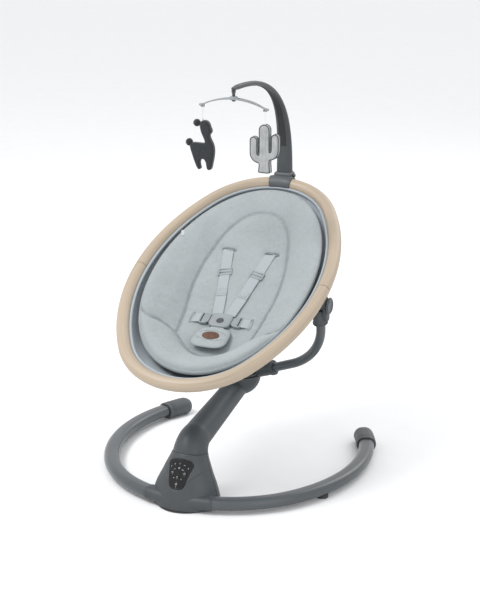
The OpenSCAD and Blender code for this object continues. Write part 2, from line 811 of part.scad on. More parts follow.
pad_edge = sling_t + 12;   // how far the cushion's edge stays inside the sling's rim
foot_dip = 24;
module seat_cushion() {
  color(cloth) in_seat() loft(concat(
    bowl_rings(pad_edge, bowl_depth - 12, -1, foot_dip, true),
    bowl_rings(pad_edge + 5, pad_depth, pad_t * 0.25 - 3, foot_dip, false)));
}

// ---- Harness -----------------------------------------------------------------------------

slot_u = 114;
buckle_u = -82;
buckle_w = 16 - pad_depth;    // the buckle's upper face
strap_in = 15;
waist_x = 66;

function on_pad(x, u, up) = [x, u, bowl_height(x, u, pad_edge + 5, pad_depth) + up];

// A flat strap from p to q, lying face up
module strap(p, q, w = web_w, t = web_t) {
  d = q - p;
  l = norm(d);
  turn = atan2(-d[0], d[1]);
  rise = asin(d[2] / l);
  translate(p) rotate([0, 0, turn]) rotate([rise, 0, 0]) translate([-w / 2, 0, -t / 2])
    cube([w, l, t]);
}

shoulder_top = on_pad(slot_gap / 2, slot_u, 2.5);
shoulder_low = [strap_in, buckle_u + 18, buckle_w - 2.5];

module harness_straps() {
  color(cloth) in_seat() both() {
    strap(shoulder_top, shoulder_low);
    strap(on_pad(waist_x, buckle_u, 3), [27.5, buckle_u, buckle_w - 2.5]);
  }
}

adjust_at = 0.36;
adjuster_travel = 20;
strap_run = shoulder_low - shoulder_top;
strap_turn = [asin(strap_run[2] / norm(strap_run)), 0, atan2(-strap_run[0], strap_run[1])];
module strap_adjuster() {
  color(cloth) in_seat() translate(mix(shoulder_top, shoulder_low, adjust_at))
    rotate([0, 0, strap_turn[2]]) rotate([strap_turn[0], 0, 0]) difference() {
      cube([web_w + 8, 16, web_t + 4], center = true);
      cube([web_w + 1.2, 20, web_t + 1.2], center = true);
    }
}
module strap_adjuster_right() strap_adjuster();
module strap_adjuster_left() mirror([1, 0, 0]) strap_adjuster();

buckle_size = [52, 40, 11];
buckle_press = 1.2;
module harness_buckle() {
  color("#8d9599") in_seat() translate([0, buckle_u, buckle_w - buckle_size[2] / 2]) difference() {
    cube(buckle_size, center = true);
    translate([0, -4, -1]) cylinder(d = 17, h = 20);
    translate([0, buckle_size[1] / 2, 3.5]) cube([2 * strap_in + web_w + 3, 12, 3.6], center = true);
    for (s = [-1, 1]) translate([s * buckle_size[0] / 2, 0, 3.5])
      cube([7, web_w + 2, 3.6], center = true);
  }
}

module buckle_button() {
  color("#8d9599") in_seat() translate([0, buckle_u - 4, buckle_w - 4]) cylinder(d = 16, h = 4.6);
}

crotch_t = 12;
crotch_u0 = buckle_u - 28;
crotch_u1 = buckle_u - 86;
crotch_w0 = buckle_w + 0.5 - crotch_t / 2;
crotch_w1 = crotch_w0 + 10;
module crotch_pad() {
  color(cloth) in_seat() hull() for (s = [-1, 1]) {
    translate([s * 31, crotch_u0, crotch_w0]) sphere(d = crotch_t, $fn = 20);
    translate([s * 38, crotch_u1, crotch_w1]) sphere(d = crotch_t, $fn = 20);
  }
}

module leather_patch() {
  color("#6b4630") in_seat() translate([0, (crotch_u0 + crotch_u1) / 2, (crotch_w0 + crotch_w1) / 2])
    rotate([-atan2(crotch_w1 - crotch_w0, crotch_u0 - crotch_u1), 0, 0])
      translate([0, 0, crotch_t / 2 + eps]) linear_extrude(1.4) scale([40, 27]) circle(d = 1);
}

// ---- Toy arm and mobile ------------------------------------------------------------------

head_y = ring_y + ring_b * cos(ring_tilt);
head_z = ring_z + ring_b * sin(ring_tilt);
stem_y = head_y + 17;
socket_top_z = head_z + 26;
plug_w = 25;
plug_t = 15;
plug_depth = 13.5;

module toy_socket() {
  color("#6a7073") difference() {
    union() {
      in_seat() translate([0, ring_b - ring_r, 0])
        sweep_arc(ring_r, 81, 99) circle(d = ring_d + 8);
      translate([-22, stem_y - 16, head_z]) cube([44, 32, socket_top_z - head_z]);
    }
    in_seat() translate([0, ring_b - ring_r, 0])
      sweep_arc(ring_r, 75, 105) circle(d = ring_d + 2 * fit);
    in_seat() translate([-60, ring_b - ring_d / 2 + 2 - 60, -60]) cube([120, 60, 120]);
    translate([-plug_w / 2 - 0.3, stem_y - plug_t / 2 - 0.3, socket_top_z - plug_depth - 1])
      cube([plug_w + 0.6, plug_t + 0.6, 40]);
    translate([17.6, stem_y - 5.4, head_z + 13.1]) cube([20, 10.8, 8.8]);
  }
}

release_travel = 1.6;
module toy_release() {
  color(dark) translate([19.8, stem_y - 5, head_z + 13.5]) cube([7, 10, 8]);
}

// Points along the toy arm, from its socket to its tip
function toy_arm_row(t) =
  let (a = 90 * t, n = 2.9,
       c = pow(max(cos(a), 0), 2 / n), s = pow(max(sin(a), 0), 2 / n))
    [0, stem_y - toy_arm_reach + toy_arm_reach * c, socket_top_z + 0.6 + toy_arm_h * s];
toy_arm_steps = 18;
function toy_arm_ring(i) =
  let (t = i / toy_arm_steps, p = toy_arm_row(t),
       d = i == 0 ? [0, 0, 1] : i == toy_arm_steps ? [0, -1, 0]
         : toy_arm_row(t + 0.01) - toy_arm_row(t - 0.01),
       u = d / norm(d), out = [0, u[2], -u[1]],
       w = t < 0.3 ? mix(19, 15, t / 0.3) : t < 0.55 ? mix(15, 11, (t - 0.3) / 0.25)
         : mix(11, 5.5, min(1, (t - 0.55) / 0.3)),
       h = mix(12, 7, min(1, t / 0.4)) - 1.5 * t)
    [for (k = [0:15]) let (a = k * 22.5) p + w * cos(a) * [1, 0, 0] + h * sin(a) * out];

pendant_y = stem_y - toy_arm_reach + 6;
tip_z = socket_top_z + 0.6 + toy_arm_h;
mobile_z = tip_z - 21;   // centre of the mobile's hub

module toy_arm() {
  color(charcoal) {
    loft([for (i = [0:toy_arm_steps]) toy_arm_ring(i)]);
    translate([-plug_w / 2, stem_y - plug_t / 2, socket_top_z - plug_depth])
      cube([plug_w, plug_t, plug_depth + 1]);
    translate([0, pendant_y, mobile_z + 4.3]) cylinder(r = 3.5, h = 14);
    translate([0, pendant_y, mobile_z - 7]) cylinder(r = 2, h = 14);
    translate([0, pendant_y, mobile_z - 7]) cylinder(r = 4, h = 2.6);
  }
}

bar_half = crossbar_len / 2;
bar_drop = 22;
wire_r = 1.5;
bar_r = (bar_half * bar_half + bar_drop * bar_drop) / (2 * bar_drop);
bar_angle = asin(bar_half / bar_r);
wire_splay = 18;
string_x = bar_half - 7;
tip_drop = bar_drop - (bar_r - bar_r * cos(asin(string_x / bar_r)));
string_top = mobile_z - bar_drop + tip_drop - 3;
string_r = 0.6;
peg_r = 1.4;   // the small cross peg that each string hangs from

module mobile_crossbar() {
  color("#9aa0a2") translate([0, pendant_y, mobile_z]) difference() {
    union() {
      translate([0, 0, -3.5]) cylinder(r = 9.5, h = 7);
      for (s = [-1, 1]) translate([0, 0, -bar_drop]) rotate([s * wire_splay, 0, 0])
        translate([0, 0, bar_drop - bar_r]) rotate([90, 0, 0])
          sweep_arc(bar_r, 90 - bar_angle, 90 + bar_angle) circle(wire_r, $fn = 16);
      both() translate([string_x, 0, tip_drop - bar_drop]) {
        translate([-1, 0, -1]) rotate([0, 100, 0]) cylinder(r = 2.6, h = 10);
        translate([-4, 0, -3]) rotate([0, 90, 0]) cylinder(r = 3.4, h = 8);
      }
    }
    both() translate([string_x, 0, tip_drop - bar_drop - 3]) {
      translate([-8, 0, 0]) rotate([0, 90, 0]) cylinder(r = peg_r + run, h = 24);
      translate([-1.3, -5, -5]) cube([2.6, 10, 6.5]);
    }
    translate([0, 0, -5]) cylinder(r = 2 + run, h = 10);
  }
}

// A string runs straight down from its peg in a crossbar tip to its toy
module toy_string(x) {
  translate([x, pendant_y, string_top - string_len]) cylinder(r = string_r, h = string_len, $fn = 16);
  translate([x - 3.5, pendant_y, string_top]) rotate([0, 90, 0]) cylinder(r = peg_r, h = 7, $fn = 24);
}
module string_left() color("white") toy_string(-string_x);
module string_right() color("white") toy_string(string_x);

toy_t = 20;
toy_top = string_top - string_len;

// Toys are drawn one unit tall, with the string's end at the origin
module toy_body(x, tall) {
  translate([x, pendant_y + toy_t / 2, toy_top]) rotate([90, 0, 0])
    linear_extrude(toy_t) scale(tall) children();
}

module llama_outline() {
  translate([0.05, -0.11]) circle(r = 0.11, $fn = 24);
  translate([0.135, -0.215]) circle(r = 0.068, $fn = 20);
  polygon([
    [-0.055, -0.14], [-0.01, -0.28], [0.1, -0.475], [-0.24, -0.46], [-0.285, -0.51],
    [-0.22, -0.72], [-0.12, -0.965], [-0.07, -1], [-0.03, -0.97], [-0.07, -0.87], [-0.055, -0.8],
    [0, -0.765], [0.055, -0.8], [0.08, -0.87], [0.08, -0.97], [0.13, -0.99], [0.18, -0.975],
    [0.205, -0.85], [0.245, -0.7], [0.25, -0.55], [0.22, -0.42], [0.16, -0.32], [0.11, -0.12]
  ]);
}

module toy_llama() {
  color("#3c3f42") {
    toy_body(-string_x, toy_h) llama_outline();
    for (p = [[-0.125, -0.07], [-0.295, -0.465]])
      translate([-string_x + p[0] * toy_h, pendant_y, toy_top + p[1] * toy_h])
        sphere(r = toy_h * 0.073, $fn = 32);
  }
}

// Points of an arc about a centre
function arc_points(centre, r, from, to) =
  [for (i = [0:10]) centre + r * [cos(mix(from, to, i / 10)), sin(mix(from, to, i / 10))]];

// One arm of the cactus from the stem's foot up and back to the stem, on the right side
function cactus_arm(top, elbow) = concat(
  arc_points([0.115, elbow], 0.2, 270, 360),
  arc_points([0.24, top], 0.075, 0, 180),
  arc_points([0.115, elbow], 0.05, 360, 270)
);
function flipped(points) = [for (i = [len(points) - 1:-1:0]) [-points[i][0], points[i][1]]];

module cactus_outline() {
  polygon(concat(
    [[-0.13, -1], [0.13, -1], [0.11, -0.85]],
    cactus_arm(-0.26, -0.52),
    [[0.11, -0.56]],
    arc_points([0, -0.11], 0.11, 0, 180),
    [[-0.11, -0.64]],
    flipped(cactus_arm(-0.34, -0.6)),
    [[-0.11, -0.85]]
  ));
}

module toy_cactus() {
  color("#b9bdbf") toy_body(string_x, toy_h * 0.93) cactus_outline();
}

// ---- Node dispatch -----------------------------------------------------------------------

base_tube_left();
base_tube_right();
end_cap_left();
end_cap_right();
rubber_feet();
chassis();
tube_sockets();
housing_front();
housing_rear();
control_panel();
indicator_lights();
power_button();
speed_button();
timer_button();
music_button();
circuit_board();
speaker();
power_inlet();
drive_coil();
spindle_carrier();
spindle_bearings();
spindle();
drive_lever();
drive_magnet();
arm_root();
arm_cover_upper();
arm_cover_lower();
hub_bowl();
hub_pin();
thrust_washer();
turntable();
hub_nut();
yoke_bracket();
swivel_latch();
yoke_tube_left();
yoke_tube_right();
pivot_heads();
recline_button_left();
recline_button_right();
ring_tube_head();
ring_tube_foot();
ring_joiners();
pivot_lugs();
toy_socket();
toy_release();
seat_sling();
seat_cushion();
harness_straps();
strap_adjuster_left();
strap_adjuster_right();
harness_buckle();
buckle_button();
crotch_pad();
leather_patch();
toy_arm();
mobile_crossbar();
string_left();
string_right();
toy_llama();
toy_cactus();
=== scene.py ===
"""Baby swing: the looks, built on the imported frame. Metres, row frame."""
import json
import math
import bpy
import bmesh
import numpy as np
from mathutils import Vector, Matrix, noise

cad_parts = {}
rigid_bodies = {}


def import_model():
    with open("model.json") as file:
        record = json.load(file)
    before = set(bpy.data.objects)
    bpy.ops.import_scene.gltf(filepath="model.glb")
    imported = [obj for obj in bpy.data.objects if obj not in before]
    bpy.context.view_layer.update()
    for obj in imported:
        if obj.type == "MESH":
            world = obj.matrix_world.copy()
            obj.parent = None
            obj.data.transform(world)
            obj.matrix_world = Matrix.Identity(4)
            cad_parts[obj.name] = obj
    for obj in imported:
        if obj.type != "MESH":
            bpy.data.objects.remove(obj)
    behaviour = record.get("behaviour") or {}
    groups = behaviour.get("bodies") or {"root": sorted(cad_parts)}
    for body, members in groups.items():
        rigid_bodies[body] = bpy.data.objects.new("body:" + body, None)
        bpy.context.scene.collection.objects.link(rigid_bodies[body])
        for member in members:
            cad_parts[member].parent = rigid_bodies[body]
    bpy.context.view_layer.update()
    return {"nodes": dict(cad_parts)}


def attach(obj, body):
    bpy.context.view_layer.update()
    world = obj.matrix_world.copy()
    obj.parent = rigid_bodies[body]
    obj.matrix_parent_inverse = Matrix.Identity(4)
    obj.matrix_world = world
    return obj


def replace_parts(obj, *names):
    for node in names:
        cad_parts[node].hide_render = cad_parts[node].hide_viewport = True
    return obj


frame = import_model()
NODES = frame["nodes"]
scene = bpy.context.scene
MM = 0.001

# ---- Sizes shared with the CAD model, in millimetres ---------------------------------------
BASE_W, BASE_LEN, TUBE_W, TUBE_H, LIFT, END_ANGLE = 615, 680, 36, 26, 8, 118
HOUSE_W, HOUSE_L, NECK_H, NECK_D, LEAN = 154, 126, 112, 76, 12
HUB_Y, ARM_RISE, ARM_END_D, HUB_R, HUB_RIM = 284, 11.6, 52, 48, 4
RING_L, RING_W, RING_D, RING_Z, TILT = 689, 473, 29, 445, 27.5
BOWL, PAD_DEPTH, BOWL_U = 108, 66, -90


def lin(a, b, n):
    """n evenly spaced numbers from a to b."""
    return [a + (b - a) * i / (n - 1) for i in range(n)]


def sn(a):
    return math.sin(math.radians(a))


def cs(a):
    return math.cos(math.radians(a))


def mix(a, b, t):
    return a + (b - a) * t


def arc_radius(a, b, r):
    return (a * a + (b - r) ** 2 - r * r) / (2 * (a - r))


base_a, base_b = (BASE_W - TUBE_W) / 2, (BASE_LEN - TUBE_W) / 2
base_r = base_a * 0.95
base_R = arc_radius(base_a, base_b, base_r)
base_join = math.degrees(math.atan2(base_R - base_a, base_b - base_r))
tube_z = LIFT + TUBE_H / 2
front_y = HUB_Y - base_b + base_r
tube_start = math.degrees(math.asin(HOUSE_W * 0.2 / base_r))


def base_point(t, z):
    if t < base_join:
        return Vector((base_r * sn(t), front_y - base_r * cs(t), z))
    return Vector((base_a - base_R + base_R * sn(t), HUB_Y - base_R * cs(t), z))


ring_a, ring_b = (RING_W - RING_D) / 2, (RING_L - RING_D) / 2
ring_y = HUB_Y - 54
ring_r = ring_a * 0.79
ring_R = arc_radius(ring_a, ring_b, ring_r)
ring_turn = 90 - math.degrees(math.atan2(ring_R - ring_a, ring_b - ring_r))
SEAT = (Matrix.Translation((0, ring_y * MM, RING_Z * MM))
        @ Matrix.Rotation(math.radians(TILT), 4, "X") @ Matrix.Scale(MM, 4))
ROW = Matrix.Scale(MM, 4)
neck = Vector((0, NECK_H * sn(LEAN), NECK_H * cs(LEAN)))
bend_r = NECK_D / 2 + 2.6
elbow = neck + bend_r * Vector((0, cs(LEAN), -sn(LEAN)))
after = elbow + (bend_r - 6.5) * Vector((0, -sn(ARM_RISE), cs(ARM_RISE)))
arm_len = (HUB_Y - after.y) / cs(ARM_RISE)
hub_z = after.z + arm_len * sn(ARM_RISE) + 20
table_z = hub_z + HUB_RIM + 1
yoke_z = table_z + 12
pivot_u, pivot_w = -22, -(RING_D / 2 + 11)
pivot_y = ring_y + pivot_u * cs(TILT) - pivot_w * sn(TILT)
pivot_z = RING_Z + pivot_u * sn(TILT) + pivot_w * cs(TILT)
yoke_lean = math.degrees(math.atan2(HUB_Y - pivot_y, pivot_z - yoke_z))
pivot_s = math.hypot(HUB_Y - pivot_y, pivot_z - yoke_z)
YOKE = (Matrix.Translation((0, HUB_Y * MM, yoke_z * MM))
        @ Matrix.Rotation(math.radians(90 + yoke_lean), 4, "X") @ Matrix.Scale(MM, 4))
yoke_x, yoke_slope, yoke_bend = ring_a - 8, 22, 130
corner_s = 2 + (yoke_x - 60) * math.tan(math.radians(yoke_slope))
tangent = yoke_bend * math.tan(math.radians((90 - yoke_slope) / 2))
bend_start = (yoke_x - tangent * cs(yoke_slope), corner_s - tangent * sn(yoke_slope))
bend_end = (yoke_x, corner_s + tangent)
head_y = ring_y + ring_b * cs(TILT)
head_z = RING_Z + ring_b * sn(TILT)
stem_y = head_y + 17
socket_top = head_z + 26
ARM_H, ARM_REACH, TOY_H, STRING = 239, 294, 112, 31
CACTUS_H = TOY_H * 0.93
pend_y = stem_y - ARM_REACH + 6
mobile_z = socket_top + 0.6 + ARM_H - 21
bar_half, bar_drop = 81, 22
bar_r = (bar_half ** 2 + bar_drop ** 2) / (2 * bar_drop)
string_x = bar_half - 7
string_top = mobile_z - (bar_r - bar_r * math.cos(math.asin(string_x / bar_r))) - 3


# ---- Materials -----------------------------------------------------------------------------
class Nodes:
    """Small helper that writes a node tree."""

    def __init__(self, name, color, rough):
        self.m = bpy.data.materials.new(name)
        self.m.use_nodes = True
        self.t = self.m.node_tree
        self.n = self.t.nodes
        self.b = self.n["Principled BSDF"]
        self.b.inputs["Base Color"].default_value = (*color, 1)
        self.b.inputs["Roughness"].default_value = rough
        self.co = self.n.new("ShaderNodeTexCoord")

    def link(self, a, b):
        self.t.links.new(a, b)

    def scaled(self, scale, uv=False):
        k = self.n.new("ShaderNodeMapping")
        k.inputs["Scale"].default_value = scale
        self.link(self.co.outputs["UV" if uv else "Object"], k.inputs["Vector"])
        return k.outputs["Vector"]

    def noise(self, vector, scale, detail=4.0, rough=0.55):
        k = self.n.new("ShaderNodeTexNoise")
        k.inputs["Scale"].default_value = scale
        k.inputs["Detail"].default_value = detail
        k.inputs["Roughness"].default_value = rough
        self.link(vector, k.inputs["Vector"])
        return k.outputs["Fac"]

    def wave(self, vector, scale, axis, distort=0.0):
        k = self.n.new("ShaderNodeTexWave")
        k.bands_direction = axis
        k.inputs["Scale"].default_value = scale
        k.inputs["Distortion"].default_value = distort
        k.inputs["Detail"].default_value = 1.0
        self.link(vector, k.inputs["Vector"])
        return k.outputs["Fac"]

    def math(self, op, a, b):
        k = self.n.new("ShaderNodeMath")
        k.operation = op
        for i, v in enumerate((a, b)):
            if isinstance(v, (int, float)):
                k.inputs[i].default_value = v
            else:
                self.link(v, k.inputs[i])
        return k.outputs[0]

    def ramp(self, fac, stops):
        k = self.n.new("ShaderNodeValToRGB")
        r = k.color_ramp
        while len(r.elements) < len(stops):
            r.elements.new(0.5)
        for e, (p, c) in zip(r.elements, stops):
            e.position = p
            e.color = (*c, 1)
        self.link(fac, k.inputs["Fac"])
        return k.outputs["Color"]

    def range(self, fac, lo, hi):
        k = self.n.new("ShaderNodeMapRange")
        k.inputs["To Min"].default_value = lo
        k.inputs["To Max"].default_value = hi
        self.link(fac, k.inputs["Value"])
        return k.outputs["Result"]

    def bump(self, height, strength, distance):
        k = self.n.new("ShaderNodeBump")
        k.inputs["Strength"].default_value = strength
        k.inputs["Distance"].default_value = distance
        self.link(height, k.inputs["Height"])
        self.link(k.outputs["Normal"], self.b.inputs["Normal"])

    def color(self, out):
        self.link(out, self.b.inputs["Base Color"])

    def rough(self, out):
        self.link(out, self.b.inputs["Roughness"])


def shade(c, k):
    return tuple(min(1.0, v * k) for v in c)


def plastic(name, color, rough=0.48, grain=1400, depth=0.00005, wear=0.12):
    k = Nodes(name, color, rough)
    o = k.co.outputs["Object"]
    patch = k.noise(o, 14, 5)
    k.color(k.ramp(patch, [(0.3, shade(color, 1 - wear)), (0.7, shade(color, 1 + wear))]))
    k.rough(k.range(k.noise(o, 60, 6), rough - 0.07, rough + 0.09))
    k.bump(k.noise(o, grain, 2), 0.35, depth)
    return k.m


def painted(name, color, rough=0.36):
    k = Nodes(name, color, rough)
    o = k.co.outputs["Object"]
    k.color(k.ramp(k.noise(o, 9, 5), [(0.3, shade(color, 0.93)), (0.7, shade(color, 1.07))]))
    k.rough(k.range(k.noise(o, 90, 5), rough - 0.05, rough + 0.1))
    k.bump(k.noise(o, 700, 3), 0.25, 0.00006)
    k.b.inputs["Coat Weight"].default_value = 0.25
    k.b.inputs["Coat Roughness"].default_value = 0.25
    return k.m


def rubber(name, color, rough=0.62):
    k = Nodes(name, color, rough)
    o = k.co.outputs["Object"]
    k.color(k.ramp(k.noise(o, 30, 6), [(0.35, shade(color, 0.9)), (0.7, shade(color, 1.1))]))
    k.rough(k.range(k.noise(o, 200, 4), rough - 0.08, rough + 0.08))
    k.bump(k.noise(o, 1100, 3), 0.45, 0.00008)
    return k.m


def woodlook(name, color):
    k = Nodes(name, color, 0.42)
    grain = k.noise(k.scaled((5.0, 240.0, 1.0), True), 1.0, 7, 0.6)
    broad = k.noise(k.scaled((1.6, 26.0, 1.0), True), 1.0, 4, 0.5)
    pore = k.noise(k.scaled((40.0, 1500.0, 1.0), True), 1.0, 2, 0.5)
    both = k.math("ADD", k.math("MULTIPLY", grain, 0.6), k.math("MULTIPLY", broad, 0.4))
    k.color(k.ramp(both, [(0.36, shade(color, 0.83)), (0.47, color), (0.56, shade(color, 1.06)),
                          (0.66, shade(color, 1.17))]))
    k.rough(k.range(grain, 0.36, 0.5))
    k.bump(pore, 0.3, 0.00008)
    return k.m


def cloth(name, color, pitch=0.0012, depth=0.00035, heather=0.13, uv=True, sheen=0.25):
    """A plain weave with the slight mottling of a heathered yarn."""
    k = Nodes(name, color, 0.88)
    v = k.co.outputs["UV" if uv else "Object"]
    warp = k.wave(v, 0.314 / pitch, "X", 0.6)
    weft = k.wave(v, 0.314 / pitch, "Y", 0.6)
    cross = k.math("MULTIPLY", warp, weft)
    streak = k.noise(k.scaled((60, 900, 60), uv), 1.0, 3, 0.6)
    streak2 = k.noise(k.scaled((900, 60, 60), uv), 1.0, 3, 0.6)
    mottle = k.math("MULTIPLY", k.math("ADD", streak, streak2), 0.5)
    soft = k.noise(v, 12, 3)
    tone = k.math("ADD", k.math("MULTIPLY", mottle, 0.8), k.math("MULTIPLY", soft, 0.2))
    k.color(k.ramp(tone, [(0.38, shade(color, 1 - heather)), (0.5, color),
                          (0.62, shade(color, 1 + heather))]))
    k.bump(k.math("ADD", cross, k.math("MULTIPLY", mottle, 0.7)), 0.5, depth)
    k.b.inputs["Sheen Weight"].default_value = sheen
    k.b.inputs["Sheen Roughness"].default_value = 0.5
    k.b.inputs["Specular IOR Level"].default_value = 0.25
    return k.m


def webbing(name, color):
    k = Nodes(name, color, 0.8)
    v = k.co.outputs["UV"]
    rib = k.wave(k.scaled((1, 1, 1), True), 0.314 / 0.0009, "X")
    twill = k.wave(k.scaled((0.7, 0.7, 1), True), 0.314 / 0.0011, "DIAGONAL")
    fuzz = k.noise(v, 900, 3)
    k.color(k.ramp(k.math("ADD", k.math("MULTIPLY", twill, 0.5), k.math("MULTIPLY", fuzz, 0.5)),
                   [(0.25, shade(color, 0.86)), (0.75, shade(color, 1.1))]))
    k.bump(k.math("ADD", rib, twill), 0.5, 0.0003)
    k.b.inputs["Sheen Weight"].default_value = 0.15
    k.b.inputs["Specular IOR Level"].default_value = 0.3
    return k.m


def felt(name, color):
    k = Nodes(name, color, 0.95)
    o = k.co.outputs["Object"]
    fibre = k.noise(o, 700, 6, 0.7)
    k.color(k.ramp(k.noise(o, 260, 6, 0.7), [(0.35, shade(color, 0.7)), (0.65, shade(color, 1.35))]))
    k.bump(fibre, 0.8, 0.0006)
    k.b.inputs["Sheen Weight"].default_value = 0.4
    k.b.inputs["Specular IOR Level"].default_value = 0.15
    return k.m


def leather(name, color):
    k = Nodes(name, color, 0.55)
    o = k.co.outputs["Object"]
    cell = k.n.new("ShaderNodeTexVoronoi")
    cell.inputs["Scale"].default_value = 900
    k.link(o, cell.inputs["Vector"])
    k.color(k.ramp(k.noise(o, 120, 6), [(0.3, shade(color, 0.7)), (0.7, shade(color, 1.35))]))
    k.rough(k.range(k.noise(o, 300, 3), 0.45, 0.68))
    k.bump(k.math("ADD", cell.outputs["Distance"], k.noise(o, 400, 4)), 0.5, 0.0003)
    return k.m


def gloss(name, color, rough=0.12):
    k = Nodes(name, color, rough)
    o = k.co.outputs["Object"]
    k.rough(k.range(k.noise(o, 70, 5), rough, rough + 0.12))
    k.color(k.ramp(k.noise(o, 40, 4), [(0.3, shade(color, 0.9)), (0.7, shade(color, 1.15))]))
    k.b.inputs["Coat Weight"].default_value = 0.15
    k.b.inputs["Specular IOR Level"].default_value = 0.3
    return k.m


def metal(name, color, rough=0.3):
    k = Nodes(name, color, rough)
    k.b.inputs["Metallic"].default_value = 1.0
    o = k.co.outputs["Object"]
    k.rough(k.range(k.noise(o, 300, 4), rough - 0.08, rough + 0.12))
    k.color(k.ramp(k.noise(o, 25, 4), [(0.3, shade(color, 0.9)), (0.7, shade(color, 1.08))]))
    return k.m


CHAR = (0.043, 0.050, 0.055)
M = {
    "tube": painted("tube_paint", (0.054, 0.063, 0.069), 0.3),
    "shell": plastic("shell_plastic", CHAR, 0.46),
    "cap": rubber("cap_rubber", (0.062, 0.070, 0.075), 0.5),
    "dark": plastic("dark_plastic", (0.016, 0.017, 0.018), 0.55),
    "foot": rubber("foot_rubber", (0.03, 0.032, 0.034)),
    "knob": plastic("knob_plastic", (0.045, 0.052, 0.058), 0.42),
    "saddle": plastic("saddle_plastic", (0.072, 0.081, 0.087), 0.5),
    "wood": woodlook("wood_look", (0.375, 0.305, 0.228)),
    "pad": cloth("pad_fabric", (0.305, 0.335, 0.343)),
    "sling": cloth("sling_fabric", (0.33, 0.37, 0.40), 0.0014),
    "trim": cloth("trim_fabric", (0.24, 0.27, 0.285), 0.0009, uv=False),
    "web": webbing("webbing", (0.35, 0.385, 0.40)),
    "tab": cloth("tab_fabric", (0.45, 0.46, 0.46), 0.0007, uv=False),
    "clip": plastic("clip_plastic", (0.24, 0.265, 0.278), 0.42),
    "thread": cloth("thread", (0.155, 0.175, 0.185), 0.0006, uv=False),
    "leather": leather("leather", (0.095, 0.040, 0.020)),
    "panel": gloss("panel_gloss", (0.006, 0.0065, 0.007), 0.16),
    "icon": plastic("icon_print", (0.62, 0.66, 0.68), 0.4),
    "llama": felt("felt_dark", (0.022, 0.025, 0.028)),
    "cactus": cloth("cactus_knit", (0.33, 0.34, 0.345), 0.0013, uv=False, heather=0.2),
    "edge": cloth("edge_piping", (0.055, 0.06, 0.064), 0.0008, uv=False),
    "wire": plastic("wire_plastic", (0.24, 0.25, 0.26), 0.4),
    "string": cloth("string_yarn", (0.68, 0.68, 0.67), 0.0005, uv=False),
    "steel": metal("steel", (0.55, 0.56, 0.57)),
    "copper": metal("copper", (0.62, 0.32, 0.16)),
    "board": plastic("board_green", (0.02, 0.10, 0.05), 0.4),
}


# ---- Mesh helpers --------------------------------------------------------------------------
def make(name, verts, faces, mat, body, place=ROW, smooth=True, uvs=None, angle=None):
    """A mesh object from points in millimetres, placed and riding on a body."""
    me = bpy.data.meshes.new(name)
    me.from_pydata([tuple(place @ Vector(v)) for v in verts], [], faces)
    me.validate()
    me.update()
    bm = bmesh.new()
    bm.from_mesh(me)
    bmesh.ops.recalc_face_normals(bm, faces=bm.faces)
    bm.to_mesh(me)
    bm.free()
    if uvs is not None:
        layer = me.uv_layers.new(name="UVMap")
        for loop in me.loops:
            layer.data[loop.index].uv = uvs[loop.vertex_index]
    ob = bpy.data.objects.new(name, me)
    scene.collection.objects.link(ob)
    me.materials.append(mat)
    if smooth:
        me.shade_smooth()
        if angle:
            me.set_sharp_from_angle(angle=math.radians(angle))
    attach(ob, body)
    return ob


def loft(rings, close=True, cap0=False, cap1=False, first=0):
    """Quads through rings of equal length."""
    m = len(rings[0])
    faces = []
    for i in range(len(rings) - 1):
        for k in range(m if close else m - 1):
            a, b = first + i * m + k, first + i * m + (k + 1) % m
            faces.append((a, b, b + m, a + m))
    if cap0:
        faces.append(tuple(first + k for k in range(m))[::-1])
    if cap1:
        faces.append(tuple(first + (len(rings) - 1) * m + k for k in range(m)))
    return [p for r in rings for p in r], faces


def oval(w, h, m):
    out = []
    for k in range(m):
        t = -360 * (k + 0.5) / m
        out.append(((1 if cs(t) > 0 else -1) * (w - h) / 2 + h / 2 * cs(t), h / 2 * sn(t)))
    return out


def sweep(name, rows, mat, body, place=ROW, m=32, caps=True, angle=50):
    """Rows are (centre, side direction, up direction, width, height), all in millimetres."""
    rings, uvs, along, last = [], [], 0.0, None
    for c, s, u, w, h in rows:
        c = Vector(c)
        along += (c - last).length if last is not None else 0.0
        last = c
        rings.append([c + q[0] * Vector(s) + q[1] * Vector(u) for q in oval(w, h, m)])
        uvs += [(along * MM, abs(k - m / 2) / m * math.pi * h * MM) for k in range(m)]
    v, f = loft(rings, True, caps, caps)
    return make(name, v, f, mat, body, place, uvs=uvs, angle=angle)


def lathe(name, profile, mat, body, place=ROW, seg=72, angle=35):
    """Profile of (radius, height) turned about local Z."""
    rings = [[(r * cs(360 * k / seg), r * sn(360 * k / seg), z) for k in range(seg)]
             for r, z in profile]
    v, f = loft(rings, True, profile[0][0] > 0.01, profile[-1][0] > 0.01)
    return make(name, v, f, mat, body, place, angle=angle)


def wire(name, points, radius, mat, body, place=ROW, closed=False, m=10):
    """A round wire along points, with frames carried along it."""
    pts = [Vector(p) for p in points]
    n = len(pts)
    up, rings = None, []
    for i, p in enumerate(pts):
        if closed:
            d = pts[(i + 1) % n] - pts[i - 1]
        else:
            d = pts[min(i + 1, n - 1)] - pts[max(i - 1, 0)]
        d.normalize()
        if up is None:
            up = d.orthogonal().normalized()
        up = (up - up.dot(d) * d).normalized()
        side = d.cross(up)
        r = radius(i / (n - 1)) if callable(radius) else radius
        rings.append([p + r * (cs(360 * k / m) * up + sn(360 * k / m) * side) for k in range(m)])
    if closed:
        v, f = loft(rings)
        first, last = 0, (n - 1) * m
        shift = min(range(m), key=lambda s: (rings[-1][0] - rings[0][s]).length)
        f += [(last + k, last + (k + 1) % m, first + (k + 1 + shift) % m, first + (k + shift) % m)
              for k in range(m)]
    else:
        v, f = loft(rings, True, True, True)
    return make(name, v, f, mat, body, place)


